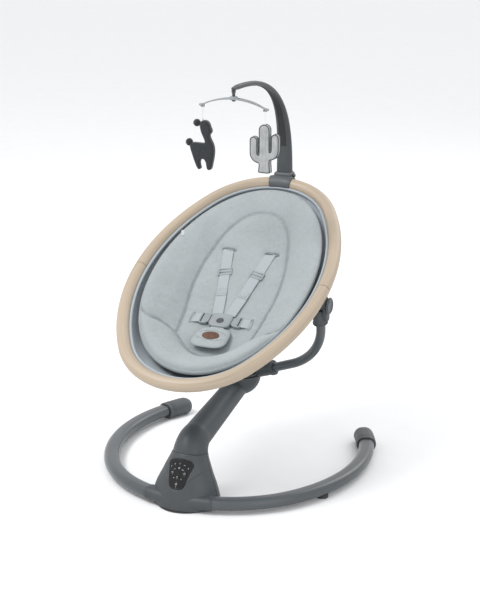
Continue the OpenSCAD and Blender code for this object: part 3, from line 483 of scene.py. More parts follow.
def bevel(ob, width, segments=3, angle=35):
    k = ob.modifiers.new("bevel", "BEVEL")
    k.width = width * MM
    k.segments = segments
    k.limit_method = "ANGLE"
    k.angle_limit = math.radians(angle)
    k.harden_normals = False
    return ob


def box(name, centre, size, mat, body, place=ROW, turn=None, round_by=1.0):
    """A rounded block, its bevel applied as a modifier."""
    x, y, z = (s / 2 for s in size)
    v = [Vector((a, b, c)) for a in (-x, x) for b in (-y, y) for c in (-z, z)]
    if turn is not None:
        v = [turn @ p for p in v]
    v = [p + Vector(centre) for p in v]
    f = [(0, 1, 3, 2), (4, 6, 7, 5), (0, 4, 5, 1), (2, 3, 7, 6), (0, 2, 6, 4), (1, 5, 7, 3)]
    return bevel(make(name, v, f, mat, body, place, angle=40), round_by)


def prism(name, outline, t, mat, body, place, puff=0.0, rim=2.0, round_by=1.0):
    """A flat shape of thickness t from a closed outline, in the place's XY plane."""
    n = len(outline)
    v = [(x, y, t / 2) for x, y in outline] + [(x, y, -t / 2) for x, y in outline]
    f = [tuple(range(n)), tuple(range(2 * n - 1, n - 1, -1))]
    f += [(k, n + k, n + (k + 1) % n, (k + 1) % n) for k in range(n)]
    return bevel(make(name, v, f, mat, body, place, angle=40), round_by)


# ---- Base ring -----------------------------------------------------------------------------
def flip(p, s):
    return Vector((s * p.x, p.y, p.z))


X, Y, Z = Vector((1, 0, 0)), Vector((0, 1, 0)), Vector((0, 0, 1))
CAP_H, CAP_W, MOUTH = 2 * tube_z - 4, TUBE_W + 10, END_ANGLE - 6
FOOT_ANGLE = 67
for side, s in (("left", -1), ("right", 1)):
    rows = [(flip(base_point(t, tube_z), s), Vector((s * sn(t), -cs(t), 0)), Z, TUBE_W, TUBE_H)
            for t in lin(tube_start, MOUTH + 2, 72)]
    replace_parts(sweep("base_tube_skin_" + side, rows, M["tube"], "base", m=48), "base_tube_" + side)
    # The short fairing where the tube comes out of the housing
    rows = [(flip(base_point(t, tube_z), s), Vector((s * sn(t), -cs(t), 0)), Z, TUBE_W + e, TUBE_H + e)
            for t, e in ((5, 3.4), (14.6, 3.4), (15.6, 3.1), (16, 2.4), (16.05, 0.4))]
    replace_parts(sweep("base_fairing_" + side, rows, M["shell"], "base", m=48), "tube_sockets")
    # Rubber end cap with a soft lip at its mouth
    rows = []
    for t, e in ((MOUTH, -2.5), (MOUTH + 0.05, -0.8), (MOUTH + 0.25, 0), (MOUTH + 1.1, 0),
                 (MOUTH + 1.25, -1.0), (MOUTH + 1.5, -1.0), (MOUTH + 1.65, 0), (MOUTH + 4, 0),
                 (END_ANGLE + 1.6, 0.3), (END_ANGLE + 3.2, 0)):
        rows.append((flip(base_point(t, CAP_H / 2), s), Vector((s * sn(t), -cs(t), 0)), Z,
                     CAP_W + e, CAP_H + e))
    t = END_ANGLE + 3.2
    for turn in (12, 24, 36, 47, 57, 66, 74, 81):
        c = base_point(t, CAP_H / 2) + CAP_W * 0.42 * sn(turn) * Vector((cs(t), sn(t), 0))
        rows.append((flip(c, s), Vector((s * sn(t), -cs(t), 0)), Z, CAP_W * cs(turn),
                     CAP_H * cs(turn) ** 0.8))
    cap = sweep("base_cap_skin_" + side, rows, M["cap"], "base", m=48)
    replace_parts(cap, "end_cap_" + side)
    rows = [(flip(base_point(t, tube_z), s), Vector((s * sn(t), -cs(t), 0)), Z, TUBE_W + e, TUBE_H + e)
            for t, e in ((MOUTH - 0.45, 0.4), (MOUTH - 0.4, 3), (MOUTH + 0.1, 3.4), (MOUTH + 0.12, 0.4))]
    sweep("base_cap_ring_" + side, rows, M["dark"], "base", m=48)
    foot = base_point(FOOT_ANGLE, 0)
    place = Matrix.Translation((s * foot.x * MM, foot.y * MM, 0)) @ ROW
    lathe("base_foot_" + side, [(0, 0), (10.5, 0), (12.2, 0.5), (13, 1.6), (13, 4.6), (12, 5.2), (12, 6),
                                (12.6, 6.6), (12.6, 9), (0, 9)], M["foot"], "base", place)

# ---- Drive housing -------------------------------------------------------------------------
SHARE_T = [0, 0.05, 0.16, 0.4, 0.62, 0.76, 0.88, 1]
SHARE_V = [0.93, 1, 0.97, 0.76, 0.47, 0.3, 0.14, 0]


def share(t):
    """The bell's spread at a share of its height, smoothed between its stations."""
    lo, hi = max(0.0, t - 0.05), min(1.0, t + 0.05)
    return float(np.mean(np.interp(lin(lo, hi, 9), SHARE_T, SHARE_V)))


PAD_H = 2


def house(t, angle, out=0.0):
    v = share(t)
    h = PAD_H + t * (NECK_H - 0.5 - PAD_H)
    a = LEAN * t
    x = (mix(NECK_D, HOUSE_W, v) / 2 + out) * cs(angle)
    y = (mix(NECK_D, HOUSE_L, v) / 2 + out) * sn(angle)
    return Vector((x, h * sn(a) + y * cs(a), h * cs(a) - y * sn(a)))


panel_mid = house(0.65, -90)
run_v = house(0.8, -90) - house(0.4, -90)
panel_lean = math.degrees(math.atan2(run_v.y, run_v.z))
PANEL = (Matrix.Translation(panel_mid * MM)
         @ Matrix.Rotation(math.radians(90 - panel_lean), 4, "X") @ Matrix.Scale(MM, 4))
PANEL_IN = PANEL.inverted() @ ROW
PW, PH = 56, 66


def smooth(lo, hi, v):
    v = min(1.0, max(0.0, (v - lo) / (hi - lo)))
    return v * v * (3 - 2 * v)


SHIELD = [(sx * (PW / 2 - 9), PH / 2 - 11, 9) for sx in (-1, 1)] + [(0, PH / 2 - 9, 9)] + [
    (sx * 6, 12 - PH / 2, 12) for sx in (-1, 1)]
SUPPORT = [(cs(a), sn(a), max(c * cs(a) + d * sn(a) + r for c, d, r in SHIELD)) for a in range(0, 360, 6)]


def shield(x, y):
    """How far inside the shield's edge a point of the panel's plane is."""
    return min(h - x * c - y * d for c, d, h in SUPPORT)


def house_skin(name, a0, a1):
    """One cover: a soft shoulder round the panel, a crease each side and a rounded foot edge."""
    ts = [0, 0.004, 0.012] + lin(0.03, 0.985, 84) + [0.994, 1.0]
    angles = lin(a0, a1, 121)
    rings = []
    for t in ts:
        ring = []
        for a in angles:
            out = -1.2 * (1 - smooth(0, 0.02, t)) - 1.0 * smooth(0.985, 1, t)
            out -= 0.9 * (1 - smooth(0, 0.9, min(abs(a - a0), abs(a - a1))))
            p = PANEL_IN @ house(t, a)
            if p.z > -30:
                e = shield(p.x, p.y)
                out -= 1.5 * smooth(-1.6, -0.3, e)
                # A crease leaves the panel's lower flank and rises to die out beside the neck
                line = -26 + 46 * smooth(8, 62, abs(p.x)) ** 0.8
                fade = smooth(10, 18, abs(p.x)) * (1 - smooth(40, 58, abs(p.x)))
                out += (1.5 * smooth(-1.1, 1.1, p.y - line) - 0.75) * fade
                out -= 0.7 * math.exp(-((p.y - line) / 0.9) ** 2) * fade
            ring.append(house(t, a, out))
        rings.append(ring)
    v, f = loft(rings, False)
    uv = [((p.x + p.y) * MM, p.z * MM) for p in v]
    ob = make(name, v, f, M["shell"], "base", uvs=uv, angle=60)
    k = ob.modifiers.new("wall", "SOLIDIFY")
    k.thickness = 2.4 * MM
    k.offset = -1
    return ob


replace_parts(house_skin("housing_front_skin", -179.6, -0.4), "housing_front")
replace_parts(house_skin("housing_rear_skin", 0.4, 179.6), "housing_rear")
rings = [[house(t, a, -1.6) for a in lin(0, 355, 72)] for t in lin(0.01, 0.97, 16)]
v, f = loft(rings)
make("housing_seam_liner", v, f, M["dark"], "base")
NECK = (Matrix.Translation(neck * MM) @ Matrix.Rotation(math.radians(-LEAN), 4, "X")
        @ Matrix.Scale(MM, 4))
lathe("neck_seam", [(NECK_D / 2 - 6, -2.5), (NECK_D / 2 - 1.3, -2.5), (NECK_D / 2 - 1.3, 1.2),
                    (NECK_D / 2 - 6, 1.2)], M["dark"], "base", NECK)
lathe("housing_pad", [(0, 0), (64, 0), (66, 0.4), (66, 1.4), (65, 2.2), (0, 2.2)], M["foot"],
      "base", Matrix.Translation((0, 0.002, 0)) @ ROW)


# ---- Control panel -------------------------------------------------------------------------
def curve_back(x, y):
    return x * x / HOUSE_W / 0.75 + max(0.0, -y - 16) * 0.08


def shield_edge(inset):
    """Points round the shield, found by walking out from its middle."""
    out = []
    for k in range(144):
        a = 2.5 * k
        lo, hi = 0.0, 60.0
        for _ in range(22):
            m = (lo + hi) / 2
            if shield(m * cs(a), m * sn(a)) > inset:
                lo = m
            else:
                hi = m
        out.append((lo * cs(a), lo * sn(a)))
    return out


def panel_plate():
    edge = shield_edge(0.0)
    rings = []
    for k, lift in ((1.0, -3.0), (1.0, 0.2), (0.99, 0.75), (0.972, 1.0), (0.945, 0.92), (0.93, 0.62),
                    (0.86, 0.62), (0.7, 0.66), (0.5, 0.7), (0.3, 0.72), (0.12, 0.72), (0.01, 0.72)):
        rings.append([(x * k, y * k, lift - curve_back(x * k, y * k)) for x, y in edge])
    v, f = loft(rings, True, False, True)
    return make("panel_face", v, f, M["panel"], "base", PANEL, angle=45)


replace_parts(panel_plate(), "control_panel", "indicator_lights")


def on_panel(x, y, up=0.0):
    return Vector((x, y, 0.76 - curve_back(x, y) + up))


def icon(name, x, y, kind, body="base", lift=0.0, size=2.6):
    """A small plain printed mark: ring, arc, bar, wave, hook or wedge."""
    c = on_panel(x, y, lift)
    r = size
    if kind == "ring":
        pts = [c + Vector((r * 0.6 * cs(30 * k), r * 0.6 * sn(30 * k), 0)) for k in range(12)]
        return wire(name, pts, 0.34, M["icon"], body, PANEL, closed=True, m=6)
    if kind == "arc":
        pts = [c + Vector((r * 0.6 * cs(30 * k - 60), r * 0.6 * sn(30 * k - 60), 0)) for k in range(11)]
    elif kind == "bar":
        pts = [c + Vector((0.1 * k, r * 0.28 * (k - 2), 0)) for k in range(5)]
    elif kind == "wave":
        pts = [c + Vector((r * 0.16 * (k - 5), r * 0.3 * sn(72 * k), 0)) for k in range(11)]
    elif kind == "hook":
        pts = [c + Vector((-r * 0.3, -r * 0.5 + r * 0.12 * k, 0)) for k in range(8)]
        pts += [c + Vector((-r * 0.3 + r * 0.1 * k, r * 0.42 - r * 0.03 * k * k, 0)) for k in range(1, 5)]
    else:
        pts = [c + Vector((r * 0.5 * (k - 2) / 2, -r * 0.35 + r * 0.7 * (1 - abs(k - 2) / 2), 0))
               for k in range(5)]
    return wire(name, pts, 0.36, M["icon"], body, PANEL, m=6)


marks = [(-20, 15.5, "bar"), (-11, 21, "wedge"), (0, 23, "bar"), (11, 21, "wedge"), (20, 15.5, "bar"),
         (-9, 10.5, "hook"), (9, 10.5, "wave"), (0, 13.5, "ring"),
         (-8.5, -8.5, "wedge"), (9, -9.5, "bar"), (0, -26.5, "bar")]
for i, (x, y, kind) in enumerate(marks):
    icon("panel_mark_%02d" % (i + 1), x, y, kind)
keys = (("power", 0, -21, "ring"), ("speed", -14, 3, "wave"), ("timer", 14, 3, "arc"),
        ("music", 0, -6, "hook"))
for name, x, y, kind in keys:
    place = PANEL @ Matrix.Translation((x, y, 0.5 - curve_back(x, y)))
    key = lathe("key_" + name, [(0, 0.25), (2.6, 0.3), (3.8, 0.5), (4.5, 0.72), (4.8, 0.6), (4.9, 0.2),
                                (4.9, -4), (0, -4)][::-1], M["panel"], name + "_key", place, seg=48)
    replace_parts(key, name + "_button")
    icon("key_mark_" + name, x, y, kind, name + "_key", 0.06, 3.4)

# ---- Swing arm and hub ---------------------------------------------------------------------
arm_rows = []
for t in lin(0, 1, 22):
    e = t * t * (3 - 2 * t)
    turn = LEAN + t * (90 - LEAN - ARM_RISE)
    r = bend_r - 6.5 * t
    up = Vector((0, -cs(turn), sn(turn)))
    arm_rows.append((elbow + r * up, up, NECK_D / 2 - 6 * t))
for t in lin(0, 1, 30)[1:]:
    d = Vector((0, cs(ARM_RISE), sn(ARM_RISE)))
    arm_rows.append((after + t * (arm_len - 12) * d, Vector((0, -sn(ARM_RISE), cs(ARM_RISE))),
                     mix(NECK_D / 2 - 6, ARM_END_D / 2, t)))
rings, uvs, run = [], [], 0.0
first = arm_rows[0]
lip = Vector((0, sn(LEAN), cs(LEAN)))
rings.append([first[0] - 0.6 * lip + (first[2] - 1.6) * (cs(a) * X + sn(a) * first[1])
              for a in lin(0, 357.5, 144)])
for i, (c, up, r) in enumerate(arm_rows):
    run += (c - arm_rows[i - 1][0]).length if i else 1
    ring = []
    for a in lin(0, 357.5, 144):
        # A fine parting line along each flank
        side = min(abs((a + 180) % 360 - 180), abs(a - 180))
        ring.append(c + (r - 0.55 * math.exp(-(side / 1.2) ** 2)) * (cs(a) * X + sn(a) * up))
    rings.append(ring)
v, f = loft(rings, True, True, True)
uvs = [((i % 144) * 0.0012, (i // 144) * 0.005) for i in range(len(v))]
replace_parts(make("arm_skin", v, f, M["shell"], "arm", uvs=uvs, angle=60), "arm_cover_upper",
            "arm_cover_lower")
HUB = Matrix.Translation((0, HUB_Y * MM, hub_z * MM)) @ ROW
prof = [(0.02, -HUB_R)] + [(HUB_R * sn(a), -HUB_R * cs(a)) for a in range(4, 88, 4)]
prof += [(HUB_R, 0), (HUB_R, 1.5), (HUB_R - 0.6, HUB_RIM - 0.6), (HUB_R - 2, HUB_RIM), (HUB_R - 5, HUB_RIM),
         (HUB_R - 5, HUB_RIM - 3), (20, HUB_RIM - 3)]
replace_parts(lathe("hub_skin", prof, M["shell"], "arm", HUB, seg=128), "hub_bowl")
TABLE = Matrix.Translation((0, HUB_Y * MM, table_z * MM)) @ ROW
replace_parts(lathe("turntable_skin", [(20, 0.2), (HUB_R - 4, 0.2), (HUB_R - 2, 0.4), (HUB_R - 0.4, 1.6),
                                     (HUB_R, 3), (HUB_R - 0.2, 5), (HUB_R - 2, 7), (HUB_R - 6, 8),
                                     (HUB_R - 12, 8.6), (20, 8.8), (16, 8.8)], M["shell"], "yoke",
                  TABLE, seg=128), "turntable")


# ---- Yoke ----------------------------------------------------------------------------------
def yrow(x, y, turn, w, s=1):
    return (Vector((s * x, y, 0)), Vector((s * sn(turn), -cs(turn), 0)), Z, w, w)


YD = 21
slope = math.tan(math.radians(yoke_slope))
for side, s in (("left", -1), ("right", 1)):
    rows = [yrow(x, 2 + (x - 60) * slope, yoke_slope, YD, s) for x in lin(52, bend_start[0], 12)]
    for turn in lin(yoke_slope, 90, 36)[1:]:
        rows.append(yrow(yoke_x - yoke_bend + yoke_bend * sn(turn),
                         bend_end[1] - yoke_bend * cs(turn), turn, YD, s))
    rows.append(yrow(yoke_x, pivot_s - 24, 90, YD, s))
    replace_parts(sweep("yoke_tube_skin_" + side, rows, M["tube"], "yoke", YOKE, m=40),
                "yoke_tube_" + side)
    # The bracket's sleeve, with a bead at its mouth
    sleeve = []
    for x, e in ((36, 6), (50, 9), (70, 10), (78.6, 10), (79, 12.6), (80.5, 14), (86, 14), (87.6, 13),
                 (88, 11), (88.05, 1)):
        sleeve.append(yrow(x, 2 + (x - 60) * slope, yoke_slope, YD + e, s))
    sweep("yoke_sleeve_" + side, sleeve, M["shell"], "yoke", YOKE, m=48)
    # The head: socket with a flange, blending into a flat ear
    low = pivot_s - 48
    head = []
    for y, e in ((low, 8), (low + 0.3, 12), (low + 1, 13), (low + 3.4, 13), (low + 4.4, 11.4),
                 (low + 5.5, 10), (low + 22, 10), (low + 31, 8), (low + 36, 2)):
        head.append(yrow(yoke_x, y, 90, YD + e, s))
    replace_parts(sweep("head_socket_" + side, head, M["shell"], "yoke", YOKE, m=48), "pivot_heads")
    ear = []
    for y, w, t in ((-37, 8, 4), (-33, 18, 10), (-28, 22, 13), (-20, 23, 13), (-12, 23, 11), (-6, 23, 8),
                    (0, 23, 6), (5, 21, 6), (9, 14.5, 6), (11, 7, 6), (11.5, 2, 5)):
        cx = yoke_x + 21 - t / 2
        n = 40
        ear.append([Vector((s * (cx + t / 2 * math.copysign(abs(cs(360 * k / n)) ** 0.45, cs(360 * k / n))),
                            pivot_s + y,
                            w / 2 * math.copysign(abs(sn(360 * k / n)) ** 0.6, sn(360 * k / n))))
                    for k in range(n)])
    v, f = loft(ear, True, True, True)
    make("head_ear_" + side, v, f, M["shell"], "yoke", YOKE, angle=55)
    KNOB = YOKE @ Matrix.Translation((s * (yoke_x + 24), pivot_s, 0)) @ Matrix.Rotation(
        math.radians(90 * s), 4, "Y")
    knob = [(0, -0.5), (17, -0.5), (18.4, -0.1), (19, 0.8), (19, 2.4), (18.4, 3.2), (17.6, 3.5), (16.9, 3.5),
            (16.5, 3.8), (16.4, 4.4), (15.6, 4.9), (13.5, 5.0), (12.6, 4.7), (11.8, 4.3), (6, 3.9), (0, 3.8)]
    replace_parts(lathe("knob_" + side, knob, M["knob"], "recline_key_" + side, KNOB, seg=96, angle=25),
                "recline_button_" + side)
    shim = [(0, -3.1), (10.4, -3.1), (10.8, -2.8), (10.8, -0.6), (0, -0.6)]
    lathe("knob_boss_" + side, shim, M["dark"], "yoke", KNOB, seg=64)

block = box("bracket_skin", (0, HUB_Y, table_z + 8 + 15), (92, 42, 30), M["shell"], "yoke", round_by=9)
block.modifiers["bevel"].segments = 6
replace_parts(block, "yoke_bracket")
box("bracket_cap_line", (0, HUB_Y - 21.1, table_z + 30), (60, 0.8, 1.2), M["dark"], "yoke", round_by=0.2)
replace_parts(box("latch_skin", (0, HUB_Y - 21.2, table_z + 22.4), (18, 12, 10), M["knob"], "latch",
                round_by=2.5), "swivel_latch")
for k in range(3):
    box("latch_grip_%d" % (k + 1), (0, HUB_Y - 27.2, table_z + 19.6 + 2.8 * k), (13, 0.8, 1), M["dark"],
        "latch", round_by=0.3)

# ---- Seat ring -----------------------------------------------------------------------------
def ring_pt(turn):
    if turn < ring_turn:
        return Vector((ring_a - ring_R + ring_R * cs(turn), ring_R * sn(turn), 0))
    if turn > 180 - ring_turn:
        return Vector((ring_R - ring_a + ring_R * cs(turn), ring_R * sn(turn), 0))
    return Vector((ring_r * cs(turn), ring_b - ring_r + ring_r * sn(turn), 0))


def ring_side(turn, s=1):
    return Vector((cs(turn), s * sn(turn), 0))


for end, s in (("head", 1), ("foot", -1)):
    rows = []
    for t, e in ([(0.06, -1.2), (0.1, -0.3), (0.2, 0)] + [(t, 0) for t in lin(1.5, 178.5, 118)]
                 + [(179.8, 0), (179.9, -0.3), (179.94, -1.2)]):
        p = ring_pt(t)
        rows.append((Vector((p.x, s * p.y, 0)), ring_side(t, s), Z, RING_D + e, RING_D + e))
    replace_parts(sweep("ring_skin_" + end, rows, M["wood"], "seat", SEAT, m=48), "ring_tube_" + end)
for s in (-1, 1):
    rows = [(Vector((s * ring_a, y, 0)), Vector((s, 0, 0)), Z, RING_D - 1.4, RING_D - 1.4)
            for y in (-2, 0, 2)]
    sweep("ring_joint_" + ("left" if s < 0 else "right"), rows, M["dark"], "seat", SEAT, m=40)
    # Lug under the ring that the pivot pin grows from
    box("lug_block_" + ("left" if s < 0 else "right"), (s * (ring_a + 0.8), pivot_u, (pivot_w - 6) / 2 - 1),
        (27, 21, -pivot_w - 2), M["shell"], "seat", SEAT, round_by=3)
    LUG = SEAT @ Matrix.Translation((s * (ring_a - 13), pivot_u, pivot_w)) @ Matrix.Rotation(
        math.radians(90 * s), 4, "Y")
    pin = lathe("lug_pin_" + ("left" if s < 0 else "right"),
                [(0, 0), (9, 0), (10.5, 1), (10.5, 18), (10.2, 19), (9, 19.6), (5, 19.6), (5, 26), (0, 26)],
                M["shell"], "seat", LUG)
    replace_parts(pin, "pivot_lugs")


# ---- Seat fabric ---------------------------------------------------------------------------
def bowl_pt(r, a, inset, drop, lift=0.0, dip=0.0):
    head = (1 + cs(a)) / 2
    n = mix(2.6, 1, head * head)
    foot = (1 - head) ** 2
    half_long = ring_b - RING_D / 2 - 1 - inset - dip * foot
    return Vector((r * (ring_a - RING_D / 2 - 1 - inset) * sn(a), mix(BOWL_U, half_long * cs(a), r),
                   mix(-drop, 0, r ** n) + (lift - dip * foot) * r))


def seat_uv(points):
    """Cloth coordinates that follow the seat's length and width, in metres."""
    return [((p[0] * 1.05) * MM, (p[1] * 1.08 + p[2] * 0.25) * MM) for p in points]


RIM = []
for t in lin(0, 180, 181):
    q = ring_pt(t) - (RING_D / 2 - 0.4) * ring_side(t)
    RIM += [(math.atan2(q.x, sy * q.y), math.hypot(q.x, q.y)) for sy in (1, -1)]
RIM.sort()
RIM_A, RIM_R = [q[0] for q in RIM], [q[1] for q in RIM]


def to_rim(p, r, start=0.82, inset=0.0):
    """Moves a point of the bowl's outer part so that its edge lies along the ring."""
    edge = np.interp(math.atan2(p.x, p.y), RIM_A, RIM_R) - inset
    k = 1 + (float(edge) / math.hypot(p.x, p.y) - 1) * smooth(start, 1.0, r) if r > start else 1.0
    return Vector((p.x * k, p.y * k, p.z))


STEPS = 288
sling_r = [0.02, 0.08] + list(lin(0.16, 0.97, 46)) + [0.985, 1.0]
rings = []
for r in sling_r:
    ring = []
    for k in range(STEPS):
        p = to_rim(bowl_pt(r, 360 * k / STEPS, 0.0, BOWL + 5), r)
        pucker = 0.5 * sn(k * 360 / STEPS * 46) * smooth(0.9, 1.0, r) * (1 - smooth(0.99, 1.0, r))
        ring.append(p + Vector((0, 0, pucker)))
    rings.append(ring)
v, f = loft(rings, True, True)
sling = make("sling_cloth", v, f, M["sling"], "seat", SEAT, uvs=seat_uv(v))
k = sling.modifiers.new("cloth", "SOLIDIFY")
k.thickness = 1.4 * MM
k.offset = 1
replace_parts(sling, "seat_sling")


def rim_curve(r, drop_in, up, n=240):
    return [to_rim(bowl_pt(r, 360 * k / n, 0, BOWL + 5), r, inset=drop_in * smooth(0.82, 1, r))
            + Vector((0, 0, up)) for k in range(n)]


piping = wire("sling_piping", rim_curve(0.95, 0, 1.2), 1.7, M["trim"], "seat", SEAT, closed=True, m=10)
hem = wire("sling_hem", rim_curve(1.0, 3.4, 0.4), 3.2, M["sling"], "seat", SEAT, closed=True, m=10)


def poly_dist(px, py, line):
    """Distance from points to a polyline, and how far along it the nearest point is."""
    best = np.full(px.shape, 1e9)
    along = np.zeros(px.shape)
    run = 0.0
    for (x0, y0), (x1, y1) in zip(line[:-1], line[1:]):
        dx, dy = x1 - x0, y1 - y0
        l2 = dx * dx + dy * dy
        t = np.clip(((px - x0) * dx + (py - y0) * dy) / l2, 0, 1)
        d = np.hypot(px - x0 - t * dx, py - y0 - t * dy)
        near = d < best
        along[near] = run + t[near] * math.sqrt(l2)
        best = np.minimum(best, d)
        run += math.sqrt(l2)
    return best, along


def smooth_line(pts, n=90):
    """A Catmull-Rom line through points."""
    p = [pts[0]] + list(pts) + [pts[-1]]
    out = []
    for i in range(1, len(p) - 2):
        for k in range(n // (len(p) - 3) + 1):
            t = k / (n // (len(p) - 3) + 1)
            out.append(tuple(0.5 * (2 * p[i][j] + (p[i + 1][j] - p[i - 1][j]) * t
                                    + (2 * p[i - 1][j] - 5 * p[i][j] + 4 * p[i + 1][j] - p[i + 2][j]) * t * t
                                    + (3 * p[i][j] - p[i - 1][j] - 3 * p[i + 1][j] + p[i + 2][j]) * t ** 3)
                             for j in range(2)))
    out.append(tuple(pts[-1]))
    return out


def mirrored(half):
    return half + [(-x, y) for x, y in half[::-1] if x != 0]


arch = smooth_line(mirrored([(-88, -132), (-96, -60), (-103, 0), (-101, 60), (-92, 110), (-78, 160),
                             (-56, 200), (-30, 222), (0, 229)]), 220)
roll = smooth_line(mirrored([(-172, -118), (-152, -128), (-124, -126), (-98, -132), (-76, -148), (-52, -170),
                             (-26, -185), (0, -190)]), 220)
slots = [[(s * 53 - 16, 114), (s * 53 + 16, 114)] for s in (-1, 1)]
PAD_IN, PAD_TOP, DIP = 17, PAD_DEPTH, 24


def cushion():
    """The padded liner: a closed quilt whose top swells between its seams."""
    rs = list(lin(0.0, 0.9, 112)[1:]) + list(lin(0.905, 1.0, 24))
    m = 432
    top = np.array([[bowl_pt(r, 360 * k / m, PAD_IN + 2, PAD_TOP + 4, 1.0, DIP) for k in range(m)]
                    for r in rs])
    px, py = top[:, :, 0], top[:, :, 1]
    d_arch, s_arch = poly_dist(px, py, arch)
    d_roll, s_roll = poly_dist(px, py, roll)
    d_slot = np.minimum(*(poly_dist(px, py, s)[0] for s in slots))
    rr = np.array(rs)[:, None] * np.ones(px.shape)
    d_edge = (1 - rr) * 200
    d_seam = np.minimum(d_arch, d_roll)
    inner_y = np.interp(px, [q[0] for q in roll], [q[1] for q in roll])
    front = 1 / (1 + np.exp((py - inner_y) / 3))
    swell = 8.0 * (1 - np.exp(-d_seam / 13)) + 6.0 * (1 - np.exp(-d_edge / 10)) - 3.0
    swell += front * 19.0 * (1 - np.exp(-d_roll / 13)) * (1 - np.exp(-d_edge / 16))
    wing = (1 - front) * np.clip((np.abs(px) - 100) / 30, 0, 1)
    swell += wing * 5.0 * (1 - np.exp(-d_arch / 16)) * (1 - np.exp(-d_edge / 12))
    swell -= 3.4 * np.exp(-(d_seam / 2.2) ** 2)
    swell -= 3.6 * np.exp(-(d_slot / 7.0) ** 2)
    swell -= 2.2 * np.exp(-(d_slot / 2.2) ** 2)
    along = np.where(d_arch < d_roll, s_arch, s_roll)
    pucker = np.zeros(px.shape)
    folds = np.zeros(px.shape)
    for i in range(px.shape[0]):
        for k in range(0, m):
            q = Vector((px[i, k], py[i, k], 0))
            w = noise.noise(q * 0.045)
            pucker[i, k] = math.sin(along[i, k] / 3.6 + 5.0 * w) * (0.55 + 0.6 * w)
            folds[i, k] = (noise.noise(Vector((q.x * 0.011, q.y * 0.022, 3.0))) * 1.9
                           + noise.noise(Vector((q.x * 0.05, q.y * 0.03, 7.0))) * 0.55
                           + noise.noise(q * 0.13) * 0.16)
    swell += 0.62 * pucker * np.exp(-((d_seam - 4.0) / 7.0) ** 2)
    hold = (1 - np.exp(-d_seam / 14)) * (1 - np.exp(-d_edge / 14)) * (1 - np.exp(-d_slot / 18))
    swell += folds * hold
    # Soft creases across the hips where the back folds into the seat
    for c, depth in ((-52, 1.5), (-72, 1.1), (-14, 0.8)):
        bend = c - np.abs(px) * 0.12 + 6 * np.sin(px / 31.0)
        swell -= depth * np.exp(-((py - bend) / 5.5) ** 2) * np.clip((np.abs(px) - 22) / 40, 0, 1) * (
            np.abs(px) < 150)
    pts = [Vector((0, BOWL_U, top[0, :, 2].mean() + swell[0].mean()))]
    tops = top.copy()
    tops[:, :, 2] += swell
    out = tops.reshape(-1, 3).tolist()
    # The rounded edge and the underside
    under = []
    for inset, drop, up in ((-0.4, 1.5, 0.4), (-2.2, 6, -2.4), (-2.6, 12, -5.2), (-1.6, 18, -7.8),
                            (1.0, 24, -9.6)):
        under += [bowl_pt(1.0, 360 * k / m, PAD_IN + inset, PAD_TOP + drop, up + 5.4, DIP) for k in range(m)]
    for r in (0.95, 0.8, 0.55, 0.3, 0.1):
        under += [bowl_pt(r, 360 * k / m, PAD_IN + 3, BOWL - 12, -3, DIP) for k in range(m)]
    verts = out + [list(p) for p in under]
    n = len(verts) // m
    faces = []
    for i in range(n - 1):
        for k in range(m):
            a, b = i * m + k, i * m + (k + 1) % m
            faces.append((a, a + m, b + m, b))
    faces.append(tuple(range(m)))
    faces.append(tuple(range((n - 1) * m + m - 1, (n - 1) * m - 1, -1)))
    ob = make("cushion_cloth", verts, faces, M["pad"], "seat", SEAT, uvs=seat_uv(verts))
    grid = tops

    def height(x, u):
        d = (grid[:, :, 0] - x) ** 2 + (grid[:, :, 1] - u) ** 2
        return float(grid[:, :, 2].flat[int(np.argmin(d))])
    return ob, height


pad, pad_height = cushion()
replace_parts(pad, "seat_cushion")


def on_cushion(line, up):
    return [Vector((x, u, pad_height(x, u) + up)) for x, u in line]


def stitches(name, line, mat, body="seat", pitch=5.2, length=3.4, r=0.34, place=SEAT):
    """A row of thread stitches along a line of points, in one mesh."""
    pts = [Vector(p) for p in line]
    cum = [0.0]
    for a, b in zip(pts[:-1], pts[1:]):
        cum.append(cum[-1] + (b - a).length)

    def at(s):
        i = min(max(int(np.searchsorted(cum, s)) - 1, 0), len(pts) - 2)
        t = (s - cum[i]) / max(1e-6, cum[i + 1] - cum[i])
        return pts[i].lerp(pts[i + 1], min(1, max(0, t)))
    verts, faces = [], []
    s = 1.0
    while s + length < cum[-1]:
        a, b = at(s), at(s + length)
        d = (b - a).normalized()
        side = d.cross(Z).normalized() * r
        upv = side.cross(d).normalized() * r
        base_i = len(verts)
        for q, w in ((a, 0.5), ((a + b) / 2, 1.0), (b, 0.5)):
            verts += [q + side * w, q + upv * w, q - side * w, q - upv * w]
        for i in range(2):
            for j in range(4):
                p0 = base_i + 4 * i + j
                p1 = base_i + 4 * i + (j + 1) % 4
                faces.append((p0, p1, p1 + 4, p0 + 4))
        faces.append(tuple(base_i + i for i in (3, 2, 1, 0)))
        faces.append(tuple(base_i + i for i in (8, 9, 10, 11)))
        s += pitch
    return make(name, verts, faces, mat, body, place)


def shifted(line, dist):
    out = []
    for i, (x, y) in enumerate(line):
        a, b = line[max(0, i - 1)], line[min(len(line) - 1, i + 1)]
        dx, dy = b[0] - a[0], b[1] - a[1]
        n = math.hypot(dx, dy) or 1
        out.append((x - dy / n * dist, y + dx / n * dist))
    return out


